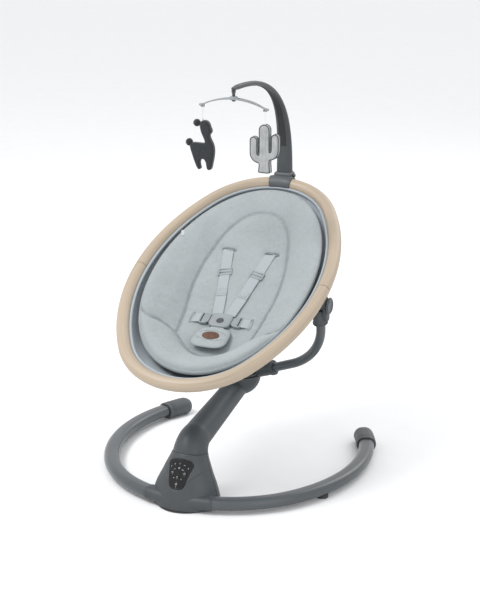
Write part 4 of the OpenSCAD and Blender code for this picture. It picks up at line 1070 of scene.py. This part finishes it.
stitches("arch_stitch", on_cushion(shifted(arch, 3.4), 0.15), M["thread"])
stitches("roll_stitch", on_cushion([p for p in shifted(roll, 3.4) if abs(p[0]) < 150], 0.15), M["thread"])
for s in (-1, 1):
    tag = "left" if s < 0 else "right"
    edge = [(s * 53 + 17.5 * cs(a), 114 + 4.2 * sn(a)) for a in range(0, 360, 6)]
    wire("slot_rim_" + tag, on_cushion(edge, 0.9), 0.9, M["trim"], "seat", SEAT, closed=True, m=8)
    # Painted shade: a dark plug stands for the shadow inside the strap slot
    fill = [(s * 53 + 15 * cs(a), 114 + 1.9 * sn(a)) for a in range(0, 360, 10)]
    ring = on_cushion(fill, 0.8)
    verts = ring + [p - Vector((0, 0, 3.5)) for p in ring]
    n = len(ring)
    v, f = [tuple(p) for p in verts], [tuple(range(n)), tuple(range(2 * n - 1, n - 1, -1))]
    f += [(k, n + k, n + (k + 1) % n, (k + 1) % n) for k in range(n)]
    make("slot_dark_" + tag, v, f, M["dark"], "seat", SEAT)

# ---- Harness -------------------------------------------------------------------------------
WEB, WEB_T, BUCKLE_U = 25, 1.6, -82
BUCKLE_W = 16 - PAD_DEPTH


def ribbon(name, line, side, mat, body="seat", width=WEB, thick=WEB_T, place=SEAT):
    """Webbing along a line of points; side is its crosswise direction at each point."""
    rings, uvs, run = [], [], 0.0
    pts = [Vector(p) for p in line]
    for i, p in enumerate(pts):
        d = (pts[min(i + 1, len(pts) - 1)] - pts[max(i - 1, 0)]).normalized()
        w = (Vector(side) - Vector(side).dot(d) * d).normalized()
        n = w.cross(d).normalized()
        run += (p - pts[i - 1]).length if i else 0
        sect = []
        for q in lin(-1, 1, 13):
            edge = 1 - 0.35 * smooth(0.86, 1.0, abs(q))
            sect.append((q * width / 2, thick / 2 * edge))
        sect += [(x, -h) for x, h in sect[::-1]]
        rings.append([p + a * w + b * n for a, b in sect])
        uvs += [(a * MM, run * MM) for a, b in sect]
    v, f = loft(rings, True, True, True)
    return make(name, v, f, mat, body, place, uvs=uvs, angle=50)


def pad_cad(x, u):
    """Height of the cushion's plain surface, where the straps' ends are."""
    a, b = ring_a - RING_D / 2 - 1 - 22, ring_b - RING_D / 2 - 1 - 22
    v = u - BOWL_U
    qa = 1 - BOWL_U ** 2 / b / b
    qb = -2 * v * BOWL_U / b / b
    qc = -x * x / a / a - v * v / b / b
    r = (-qb + math.sqrt(qb * qb - 4 * qa * qc)) / (2 * qa)
    head = (1 + (v + BOWL_U * r) / (r * b)) / 2
    return mix(-PAD_DEPTH, 0, r ** mix(2.6, 1, head * head))


def over(p, gap, t):
    """A point of a strap, kept above the cushion over its first part and taut over the rest."""
    lift = max(0.0, pad_height(p.x, p.y) + gap - p.z)
    return p + Vector((0, 0, lift * (1 - smooth(0.55, 0.95, t))))


top_w = pad_cad(53, 114) + 2.5
strap_a, strap_b = Vector((53, 114, top_w)), Vector((15, BUCKLE_U + 18, BUCKLE_W - 2.5))
for s in (-1, 1):
    tag = "left" if s < 0 else "right"
    a, b = Vector((s * strap_a.x, strap_a.y, strap_a.z)), Vector((s * strap_b.x, strap_b.y, strap_b.z))
    top = pad_height(a.x, a.y)
    line = [Vector((a.x, a.y + 1.5, top - 7)), Vector((a.x, a.y + 1.0, top - 1)),
            Vector((a.x, a.y - 1, max(top + 1.2, a.z - 0.6)))]
    line += [over(a.lerp(b, t), 1.5, t) for t in lin(0.03, 1, 40)]
    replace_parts(ribbon("shoulder_web_" + tag, line, (1, s * 0.2, 0), M["web"]), "harness_straps")
    # Doubled tail of the strap above its adjuster, with a sewn box
    tail = [over(a.lerp(b, t), 1.5, t) + Vector((0, 0, 1.5)) for t in lin(0.4, 0.72, 18)]
    ribbon("strap_tail_" + tag, tail, (1, s * 0.2, 0), M["web"], width=WEB - 1, thick=1.2)
    d = (b - a).normalized()
    w = Vector((1, 0, 0)) - Vector((1, 0, 0)).dot(d) * d
    w.normalize()
    up = w.cross(d).normalized()
    if up.z < 0:
        up = -up
    q = [over(a.lerp(b, 0.66), 1.5, 0.66) + up * 2.5 + i * 9 * w + j * 7 * d
         for i, j in ((-1, -1), (1, -1), (1, 1), (-1, 1), (-1, -1), (1, 1))]
    dense = [q[i].lerp(q[i + 1], t) for i in range(5) for t in lin(0, 1, 12)]
    stitches("strap_box_" + tag, dense, M["thread"], pitch=2.6, length=1.9, r=0.28)
    # Ladder adjuster round the strap
    c = over(a.lerp(b, 0.36), 1.5, 0.36)
    turn = Matrix((w, d, up)).transposed()
    parts = []
    body = "adjuster_" + tag
    for i, (x, y, z, dx, dy, dz) in enumerate((
            (-14.6, 0, 0.3, 3.6, 19, 4.6), (14.6, 0, 0.3, 3.6, 19, 4.6), (0, -8, 1.9, 30, 3.2, 2.4),
            (0, 0, 2.1, 30, 3.0, 2.2), (0, 8, 1.9, 30, 3.2, 2.4), (0, 0, -2.0, 30, 6, 1.4))):
        parts.append(box("ladder_%s_%d" % (tag, i + 1), c + turn @ Vector((x, y, z)), (dx, dy, dz),
                         M["clip"], body, SEAT, turn, 0.9))
    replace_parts(parts[0], "strap_adjuster_" + tag)
    # Waist strap with the side clip that joins it to the buckle
    hi = pad_height(s * 68, BUCKLE_U)
    wb = Vector((s * 46, BUCKLE_U, BUCKLE_W - 2.5))
    line = [Vector((s * 72, BUCKLE_U, hi - 5)), Vector((s * 70, BUCKLE_U, hi - 0.5))]
    line += [Vector((mix(s * 67, wb.x, t), BUCKLE_U, mix(hi + 1.2, wb.z, t ** 0.8))) for t in lin(0, 1, 14)]
    ribbon("waist_web_" + tag, line, (0, 1, 0), M["web"])
    edge = [(s * 71 + 3.2 * cs(a2), BUCKLE_U + 16 * sn(a2)) for a2 in range(0, 360, 8)]
    wire("waist_slot_rim_" + tag, on_cushion(edge, 0.5), 0.9, M["trim"], "seat", SEAT, closed=True, m=8)
    tilt = Matrix.Rotation(s * math.atan2(pad_height(68, BUCKLE_U) + 2 - BUCKLE_W + 3, 40.0) * -1, 3, "Y")
    cc = Vector((s * 38, BUCKLE_U, BUCKLE_W - 4.2))
    outline = [(-11, -9), (-4, -14.5), (8, -15.5), (12.5, -14), (13, 0), (12.5, 14), (8, 15.5), (-4, 14.5),
               (-11, 9)]
    CL = SEAT @ Matrix.Translation(cc) @ tilt.to_4x4() @ Matrix.Rotation(0 if s > 0 else math.pi, 4, "Z")
    prism("clip_body_" + tag, outline, 6.4, M["clip"], "seat", CL, round_by=1.6)
    for j, y in enumerate((-8.5, 8.5)):
        prism("clip_arm_%s_%d" % (tag, j + 1), [(-16, y - 3), (-9, y - 3.4), (3, y - 2.2), (3, y + 2.2),
                                                (-9, y + 3.4), (-16, y + 3)], 3.6, M["knob"], "seat",
              CL @ Matrix.Translation((0, 0, 0.2)), round_by=0.9)
    # Painted shade: a dark strip stands for the shadow in the clip's webbing slot
    prism("clip_slot_" + tag, [(5.5, -13), (8.8, -13), (8.8, 13), (5.5, 13)], 6.9, M["dark"], "seat", CL,
          round_by=0.3)

BK = SEAT @ Matrix.Translation((0, BUCKLE_U, BUCKLE_W - 6))
outline = [(26 * math.copysign(abs(cs(a)) ** 0.5, cs(a)), 21 * math.copysign(abs(sn(a)) ** 0.5, sn(a)))
           for a in range(0, 360, 5)]
rings = []
for k, z in ((0.9, -6), (0.98, -5), (1.0, -3), (1.0, 2.2), (0.985, 4), (0.94, 5.3), (0.86, 5.9), (0.7, 6.2),
             (0.45, 6.3)):
    rings.append([Vector((x * k, y * k, z)) for x, y in outline])
rings.append([Vector((8.7 * cs(5 * k), -4 + 8.7 * sn(5 * k), 6.2)) for k in range(72)])
rings.append([Vector((8.5 * cs(5 * k), -4 + 8.5 * sn(5 * k), 2.0)) for k in range(72)])
v, f = loft(rings, True, True, True)
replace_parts(make("buckle_shell", v, f, M["clip"], "seat", BK, angle=40), "harness_buckle")
seam = [Vector((1.004 * x, 1.004 * y, 0.4)) for x, y in outline]
wire("buckle_parting", seam, 0.3, M["dark"], "seat", BK, closed=True, m=6)
KEY = SEAT @ Matrix.Translation((0, BUCKLE_U - 4, BUCKLE_W))
key = lathe("buckle_key_skin", [(0, -3), (7.9, -3), (8, 0), (7.8, 0.5), (7, 0.75), (6, 0.5), (4.5, 0.15),
                                (2, -0.05), (0, -0.1)], M["knob"], "buckle_key", KEY, seg=64)
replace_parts(key, "buckle_button")

# Padded crotch piece: a stuffed tongue with curved stitch lines and a blank oval patch
CT, CU0, CU1 = 12, BUCKLE_U - 28, BUCKLE_U - 86
CW0, CW1 = BUCKLE_W + 0.5 - CT / 2, BUCKLE_W + 10.5 - CT / 2
C_HALF = math.hypot(CU0 - CU1, CW1 - CW0) / 2 + 6
CR = (SEAT @ Matrix.Translation((0, (CU0 + CU1) / 2, (CW0 + CW1) / 2))
      @ Matrix.Rotation(-math.atan2(CW1 - CW0, CU0 - CU1), 4, "X"))


def tongue_rim(a, e=0.6):
    y = math.copysign(abs(sn(a)) ** e, sn(a))
    x = math.copysign(abs(cs(a)) ** e, cs(a))
    return x * mix(36.5, 43.5, (1 - y) / 2), y * C_HALF


def crotch():
    m = 200
    rows = []
    for up in (1, -1):
        ks = lin(0.02, 1.0, 60) if up > 0 else lin(1.0, 0.02, 16)[1:]
        for k in ks:
            ring = []
            for j in range(m):
                x, y = tongue_rim(360 * j / m)
                x, y = x * k, y * k
                body = (1 - k ** 5) ** 0.5
                z = up * CT / 2 * body
                if up > 0:
                    for cy, bow in ((19, 0.009), (-15.5, -0.007)):
                        dd = y - (cy - bow * x * x)
                        z -= 2.0 * math.exp(-(dd / 1.6) ** 2) * body
                        z += 0.9 * math.exp(-((abs(dd) - 5) / 3.4) ** 2) * body
                    z += 0.8 * noise.noise(Vector((x * 0.08, y * 0.08, 2))) * body - 0.9 * body
                    z += 0.4 * math.sin(x / 2.0 + 3 * noise.noise(Vector((x, y, 0)) * 0.1)) * math.exp(
                        -((abs(y) - 17) / 5.0) ** 2) * body
                ring.append(Vector((x, y, z)))
            rows.append(ring)
    v, f = loft(rows, True, True, True)
    return make("crotch_cloth", v, f, M["pad"], "seat", CR, uvs=seat_uv(v))


tongue = crotch()
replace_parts(tongue, "crotch_pad")
rim_line = [Vector((*tongue_rim(a), 0)) for a in range(0, 360, 4)]
wire("crotch_piping", rim_line, 1.3, M["trim"], "seat", CR, closed=True, m=8)
for i, (cy, bow) in enumerate(((19, 0.009), (-15.5, -0.007))):
    line = [Vector((x, cy - bow * x * x - 3.2, CT / 2 - 0.5)) for x in lin(-29, 29, 34)]
    stitches("crotch_stitch_%d" % (i + 1), line, M["thread"], place=CR)
strap_c = [Vector((0, C_HALF + 5 - 12 * t, 1 + 2 * t)) for t in lin(0, 1, 8)]
ribbon("crotch_web", strap_c, (1, 0, 0), M["web"], width=30, place=CR)

PATCH = CR @ Matrix.Translation((0, 0, CT / 2 - 0.4))


def oval_line(rx, ry, z, n=96):
    return [Vector((rx * cs(360 * k / n), ry * sn(360 * k / n), z)) for k in range(n)]


rings = [oval_line(rx, ry, z) for rx, ry, z in ((19.4, 12.9, -0.6), (20, 13.5, 0.2), (19.8, 13.3, 1.0),
                                               (19.2, 12.7, 1.35), (16.4, 9.9, 1.4), (16.0, 9.5, 1.05),
                                               (15.5, 9.0, 1.05), (15.1, 8.6, 1.4), (8, 4.6, 1.5),
                                               (0.4, 0.2, 1.52))]
v, f = loft(rings, True, True, True)
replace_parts(make("patch_leather", v, f, M["leather"], "seat", PATCH, angle=60), "leather_patch")
stitches("patch_stitch", [p for p in oval_line(17.9, 11.4, 1.5)] + [Vector((17.9, 0, 1.5))], M["edge"],
         pitch=2.9, length=1.9, r=0.26, place=PATCH)
TAG = [(-167, 110), (-160, 113), (-167, 130), (-174, 127)]
tag_pts = [Vector((x, u, pad_height(x, u) + 0.9)) for x, u in TAG]
v = tag_pts + [p + Vector((0, 0, 0.5)) for p in tag_pts]
f = [(0, 1, 2, 3), (7, 6, 5, 4)] + [(k, (k + 1) % 4, 4 + (k + 1) % 4, 4 + k) for k in range(4)]
bevel(make("care_tab_blank", v, f, M["tab"], "seat", SEAT, smooth=False), 0.2, 2)

# ---- Toy arm, crossbar and toys ------------------------------------------------------------
collar = []
for t in lin(81, 99, 25):
    e = 8.6 if 82 < t < 98 else 7
    p = Vector((ring_r * cs(t), ring_b - ring_r + ring_r * sn(t), 0))
    collar.append((p, Vector((cs(t), sn(t), 0)), Z, RING_D + e, RING_D + e))
first_c, last_c = collar[0], collar[-1]
collar = [(first_c[0], first_c[1], Z, RING_D + 0.6, RING_D + 0.6)] + collar
collar += [(last_c[0], last_c[1], Z, RING_D + 0.6, RING_D + 0.6)]
sweep("socket_collar", collar, M["saddle"], "seat", SEAT, m=48)
sock = box("socket_block", (0, stem_y - 1, (head_z + 2 + socket_top) / 2), (44, 31, socket_top - head_z - 2),
           M["saddle"], "seat", round_by=6)
sock.modifiers["bevel"].segments = 5
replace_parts(sock, "toy_socket")
# Painted shade: a dark plate stands for the shadow in the socket's opening round the toy plug
box("socket_mouth", (0, stem_y, socket_top - 0.4), (34, 22, 1.6), M["dark"], "seat", round_by=0.7)
# Painted shade: a dark block stands for the shadow in the gap round the release key
box("socket_gap", (19.9, stem_y, head_z + 17.5), (4.6, 12.2, 10.4), M["dark"], "seat", round_by=1.0)
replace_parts(box("release_skin", (23.3, stem_y, head_z + 17.5), (7, 10, 8), M["knob"], "release_key",
                round_by=2), "toy_release")


def toy_row(t):
    a, n = 90 * t, 2.9
    return Vector((0, stem_y - ARM_REACH + ARM_REACH * max(cs(a), 0) ** (2 / n),
                   socket_top + 0.6 + ARM_H * max(sn(a), 0) ** (2 / n)))


rings, uvs, count = [], [], 64
steps = list(lin(0, 1, 90))
for i, t in enumerate(steps):
    p = toy_row(t)
    if i == 0:
        d = Z
    elif i == len(steps) - 1:
        d = -Y
    else:
        d = (toy_row(min(1, t + 0.004)) - toy_row(max(0, t - 0.004))).normalized()
    out = Vector((0, d.z, -d.y))
    w = mix(19, 15, t / 0.3) if t < 0.3 else mix(15, 11, (t - 0.3) / 0.25) if t < 0.55 else mix(
        11, 5.5, min(1, (t - 0.55) / 0.3))
    h = mix(12, 7, min(1, t / 0.4)) - 1.5 * t
    k = 1 - 0.5 * smooth(0.985, 1, t)
    ring = []
    for j in range(count):
        a = 360 * j / count
        x = math.copysign(abs(cs(a)) ** 0.72, cs(a)) * w * k
        y = math.copysign(abs(sn(a)) ** 0.85, sn(a)) * h * k
        groove = smooth(0.05, 0.1, t) * (1 - smooth(0.93, 0.97, t))
        if y < 0 and abs(x) < w * 0.62:
            y += groove * 2.6 * (1 - smooth(w * 0.42, w * 0.62, abs(x)))
        ring.append(p + x * X + y * out)
        uvs.append((j / count * 0.06, t * 0.4))
    rings.append(ring)
v, f = loft(rings, True, True, True)
toy = make("toy_arm_skin", v, f, M["shell"], "toy_mast", uvs=uvs, angle=60)
toy.data.materials.append(M["dark"])
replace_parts(toy, "toy_arm")
for poly in toy.data.polygons:
    row, col = divmod(min(poly.vertices), count)
    t = steps[min(row, len(steps) - 1)]
    a = 360 * ((col + 0.5) / count)
    if 0.08 < t < 0.95 and 247 < a < 293 and len(poly.vertices) == 4:
        poly.material_index = 1
box("toy_plug", (0, stem_y, socket_top - 6), (25, 15, 14), M["shell"], "toy_mast", round_by=1.5)
ROD = Matrix.Translation((0, pend_y * MM, mobile_z * MM)) @ ROW
lathe("pendant_rod", [(0, -7), (3.6, -7), (4, -6.6), (4, -5), (2, -4.4), (2, 4.4), (3.1, 4.6), (3.5, 5.4),
                      (3.5, 11), (4.4, 12), (4.8, 13.4), (4.8, 17), (0, 17.6)],
      M["knob"], "toy_mast", ROD, seg=48)

hub = lathe("mobile_hub", [(2.2, -3.5), (8.2, -3.5), (9.2, -3), (9.5, -2), (9.5, 1.6), (9.1, 2.7), (8.2, 3.4),
                           (6.6, 3.6), (6.0, 3.2), (4.2, 3.2), (3.6, 3.6), (2.2, 3.6)], M["clip"], "mobile",
            ROD, seg=72)
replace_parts(hub, "mobile_crossbar")
for i, splay in enumerate((-18, 18)):
    pts = []
    for x in lin(-bar_half + 1.5, bar_half - 1.5, 61):
        drop = bar_r - math.sqrt(bar_r ** 2 - x * x)
        rise = bar_drop - drop
        pts.append(Vector((x, rise * sn(splay) * -1, -bar_drop + rise * cs(splay))))
    wire("mobile_wire_%d" % (i + 1), pts, 1.5, M["wire"], "mobile", ROD, m=14)
tip_z = -(bar_r - math.sqrt(bar_r ** 2 - string_x ** 2))
for s in (-1, 1):
    tag = "left" if s < 0 else "right"
    TIP = ROD @ Matrix.Translation((s * string_x, 0, tip_z)) @ Matrix.Rotation(math.radians(s * 100), 4, "Y")
    lathe("mobile_tip_" + tag, [(0, -1.4), (2, -1.2), (2.6, -0.4), (2.6, 6.5), (2.2, 8), (1.2, 9), (0, 9.3)],
          M["clip"], "mobile", TIP, seg=40)
    EYE = ROD @ Matrix.Translation((s * string_x, 0, tip_z - 3)) @ Matrix.Rotation(math.radians(90), 4, "Y")
    for j, x in enumerate((-2.7, 2.7)):
        lathe("mobile_eye_%s_%d" % (tag, j + 1),
              [(0, x - 1.3), (2.8, x - 1.3), (3.3, x - 0.9), (3.3, x + 0.9), (2.8, x + 1.3), (0, x + 1.3)],
              M["clip"], "mobile", EYE, seg=32)


def string(name, x, body, node):
    cu = bpy.data.curves.new(name, "CURVE")
    cu.dimensions = "3D"
    cu.bevel_depth = 0.8 * MM
    cu.bevel_resolution = 3
    sp = cu.splines.new("POLY")
    n = 17
    sp.points.add(n - 1)
    for i in range(n):
        t = i / (n - 1)
        sp.points[i].co = ((x + 0.12 * sn(360 * t)) * MM, pend_y * MM, (string_top - STRING * t) * MM, 1)
    ob = bpy.data.objects.new(name, cu)
    cu.materials.append(M["string"])
    scene.collection.objects.link(ob)
    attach(ob, body)
    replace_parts(ob, node)
    return ob


string("hang_string_left", -string_x, "llama", "string_left")
string("hang_string_right", string_x, "cactus", "string_right")
for s, body in ((-1, "llama"), (1, "cactus")):
    KN = Matrix.Translation((s * string_x * MM, pend_y * MM, (string_top - STRING + 1) * MM)) @ ROW
    lathe("string_knot_" + body, [(0, -2.2), (1.4, -1.8), (2.0, -0.6), (1.6, 0.2), (2.0, 1.0), (1.5, 2.0),
                                  (0, 2.4)], M["string"], body, KN, seg=24)
    PG = Matrix.Translation((s * string_x * MM, pend_y * MM, string_top * MM)) @ Matrix.Rotation(
        math.radians(90), 4, "Y") @ ROW
    lathe("string_peg_" + body, [(0, -3.9), (1.2, -3.9), (1.4, -3.6), (1.4, 3.6), (1.2, 3.9), (0, 3.9)],
          M["wire"], body, PG, seg=24)


def arc_pts(c, r, a0, a1, n=12):
    return [(c[0] + r * cs(mix(a0, a1, i / n)), c[1] + r * sn(mix(a0, a1, i / n))) for i in range(n + 1)]


def chaikin(p, rounds=2):
    for _ in range(rounds):
        q = []
        for i in range(len(p)):
            a, b = p[i], p[(i + 1) % len(p)]
            q += [(0.75 * a[0] + 0.25 * b[0], 0.75 * a[1] + 0.25 * b[1]),
                  (0.25 * a[0] + 0.75 * b[0], 0.25 * a[1] + 0.75 * b[1])]
        p = q
    return p


def soft_toy(name, outline, mat, body, x, tall, thick=13.0, voxel=1.2):
    """A small stuffed shape: a thick outline remeshed and relaxed into a soft pillow."""
    place = Matrix.Translation((x * MM, pend_y * MM, (string_top - STRING) * MM)) @ Matrix.Rotation(
        math.radians(90), 4, "X") @ ROW
    pts = [(a * tall, b * tall) for a, b in outline]
    n = len(pts)
    v = [Vector((a, b, thick / 2)) for a, b in pts] + [Vector((a, b, -thick / 2)) for a, b in pts]
    f = [tuple(range(n)), tuple(range(2 * n - 1, n - 1, -1))]
    f += [(k, n + k, n + (k + 1) % n, (k + 1) % n) for k in range(n)]
    ob = make(name, v, f, mat, body, place)
    k = ob.modifiers.new("remesh", "REMESH")
    k.mode = "VOXEL"
    k.voxel_size = voxel * MM
    k.use_smooth_shade = True
    k = ob.modifiers.new("relax", "CORRECTIVE_SMOOTH")
    k.use_only_smooth = True
    k.iterations = 14
    k.factor = 0.5
    return ob, place


LLAMA_BODY = [
    (-0.055, -0.14), (-0.045, -0.05), (0.0, -0.012), (0.06, -0.0), (0.13, -0.03), (0.16, -0.1),
    (0.175, -0.15), (0.2, -0.19), (0.2, -0.24), (0.165, -0.275), (0.15, -0.3), (0.165, -0.36), (0.21, -0.43),
    (0.25, -0.54), (0.245, -0.7), (0.212, -0.85), (0.185, -0.975), (0.14, -0.995), (0.085, -0.97),
    (0.08, -0.87), (0.055, -0.8), (0, -0.765), (-0.055, -0.8), (-0.07, -0.87), (-0.035, -0.97),
    (-0.075, -1.0), (-0.12, -0.965), (-0.17, -0.85), (-0.225, -0.7), (-0.285, -0.52), (-0.24, -0.46),
    (-0.1, -0.455),
    (0.06, -0.465), (0.055, -0.42), (0.01, -0.32), (-0.03, -0.24)]
llama, LPLACE = soft_toy("llama_felt", chaikin(LLAMA_BODY, 2), M["llama"], "llama", -string_x, TOY_H)
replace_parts(llama, "toy_llama")


def pompom(name, x, y, r, mat, body, place):
    bm = bmesh.new()
    bmesh.ops.create_icosphere(bm, subdivisions=5, radius=r)
    for v in bm.verts:
        n = v.co.normalized()
        v.co *= 0.9 + 0.10 * noise.noise(n * 9) + 0.07 * abs(noise.noise(n * 24)) + 0.03 * noise.noise(n * 50)
        v.co += Vector((x, y, 0))
    me = bpy.data.meshes.new(name)
    bm.to_mesh(me)
    bm.free()
    me.transform(place)
    me.materials.append(mat)
    me.shade_smooth()
    ob = bpy.data.objects.new(name, me)
    scene.collection.objects.link(ob)
    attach(ob, body)
    return ob


pompom("llama_ear", -0.125 * TOY_H, -0.07 * TOY_H, 0.078 * TOY_H, M["llama"], "llama", LPLACE)
pompom("llama_tail", -0.295 * TOY_H, -0.465 * TOY_H, 0.078 * TOY_H, M["llama"], "llama", LPLACE)


def cactus_side(top, elbow):
    return (arc_pts((0.115, elbow), 0.2, 270, 360) + arc_pts((0.24, top), 0.075, 0, 180)
            + arc_pts((0.115, elbow), 0.05, 360, 270))


flipped = [(-a, b) for a, b in cactus_side(-0.34, -0.6)[::-1]]
CACTUS = ([(-0.125, -0.995), (-0.06, -1.0), (0.06, -1.0), (0.125, -0.995), (0.118, -0.9), (0.11, -0.8)]
          + cactus_side(-0.26, -0.52) + [(0.11, -0.5), (0.11, -0.3)] + arc_pts((0, -0.11), 0.11, 0, 180, 20)
          + [(-0.11, -0.3), (-0.11, -0.58)] + flipped + [(-0.11, -0.85), (-0.118, -0.92)])
cactus, CPLACE = soft_toy("cactus_knit_body", CACTUS, M["cactus"], "cactus", string_x, CACTUS_H)
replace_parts(cactus, "toy_cactus")


def resample(pts, step):
    p = [Vector((a, b, 0)) for a, b in pts] + [Vector((pts[0][0], pts[0][1], 0))]
    out, acc = [p[0]], 0.0
    for a, b in zip(p[:-1], p[1:]):
        length = (b - a).length
        while acc + length >= step:
            t = (step - acc) / length
            a = a.lerp(b, t)
            length = (b - a).length
            out.append(a)
            acc = 0.0
        acc += length
    return out[:-1] if (out[-1] - out[0]).length < step * 0.6 else out


outline = [(a * CACTUS_H, b * CACTUS_H) for a, b in CACTUS]
shrunk = resample(outline, 2.2)
for tag, z in (("front", 5.2), ("rear", -5.2)):
    wire("cactus_piping_" + tag, [Vector((p.x, p.y, z)) for p in shrunk], 1.15, M["edge"], "cactus", CPLACE,
         closed=True, m=8)
for side_z in (-1, 1):
    for i, x in enumerate((-3.6, 3.6)):
        line = [Vector((x, y, side_z * 6.4)) for y in lin(-14, -96, 40)]
        stitches("cactus_rib_%d_%s" % (i + 1, "front" if side_z > 0 else "rear"), line, M["edge"], "cactus",
                 pitch=4.6, length=2.6, r=0.3, place=CPLACE)

# ---- What is left of the CAD takes its finish ----------------------------------------------
FINISH = {
    "rubber_feet": "foot", "chassis": "dark", "tube_sockets": "dark", "circuit_board": "board",
    "speaker": "dark", "power_inlet": "dark", "drive_coil": "copper", "spindle_carrier": "dark",
    "spindle_bearings": "steel", "spindle": "steel", "drive_lever": "dark", "drive_magnet": "steel",
    "arm_root": "dark", "hub_pin": "steel", "thrust_washer": "steel", "hub_nut": "steel",
    "ring_joiners": "dark",
}
for node, ob in NODES.items():
    mat = M[FINISH.get(node, "shell")]
    for child in [ob] + list(ob.children_recursive):
        if child.type == "MESH":
            child.data.materials.clear()
            child.data.materials.append(mat)
            for poly in child.data.polygons:
                poly.material_index = 0

# ---- Floor, light and camera ---------------------------------------------------------------
floor_mat = plastic("floor_card", (0.86, 0.865, 0.87), 0.85, grain=300, depth=0.00002, wear=0.01)
bm = bmesh.new()
bmesh.ops.create_grid(bm, x_segments=40, y_segments=40, size=14)
me = bpy.data.meshes.new("floor")
bm.to_mesh(me)
bm.free()
me.materials.append(floor_mat)
floor = bpy.data.objects.new("floor", me)
scene.collection.objects.link(floor)


def lamp(name, at, to, size, power, color=(1, 1, 1)):
    data = bpy.data.lights.new(name, "AREA")
    data.shape = "DISK"
    data.size = size
    data.energy = power
    data.color = color
    ob = bpy.data.objects.new(name, data)
    ob.location = at
    ob.rotation_euler = (Vector(to) - Vector(at)).to_track_quat("-Z", "Y").to_euler()
    scene.collection.objects.link(ob)
    return ob


lamp("key", (-1.3, -1.2, 2.9), (0, 0.25, 0.35), 1.3, 58)
lamp("fill", (2.6, -1.4, 1.5), (0, 0.25, 0.35), 2.2, 12)
lamp("rim", (0.9, 2.6, 2.2), (0, 0.25, 0.5), 2.0, 22)
world = bpy.data.worlds.new("studio")
world.use_nodes = True
world.node_tree.nodes["Background"].inputs["Color"].default_value = (0.985, 0.99, 1.0, 1)
world.node_tree.nodes["Background"].inputs["Strength"].default_value = 1.02
scene.world = world
scene.view_settings.view_transform = "Standard"

cam = bpy.data.cameras.new("camera")
cam.lens, cam.sensor_width, cam.sensor_fit = 92.72, 36, "AUTO"
cam.shift_x, cam.shift_y = -0.0059, 0.028
cam.clip_start, cam.clip_end = 0.05, 60
eye = bpy.data.objects.new("camera", cam)
# The camera stands to the right of the front and looks down
AROUND, ABOVE = 24.192, 17.920
CAMERA_AT = (1.3743, -2.7556, 1.4169)
right = Vector((cs(AROUND), sn(AROUND), 0))
back = Vector((sn(AROUND) * cs(ABOVE), -cs(AROUND) * cs(ABOVE), sn(ABOVE)))
look = Matrix((right, back.cross(right), back)).transposed().to_4x4()
eye.matrix_world = Matrix.Translation(CAMERA_AT) @ look
scene.collection.objects.link(eye)
scene.camera = eye
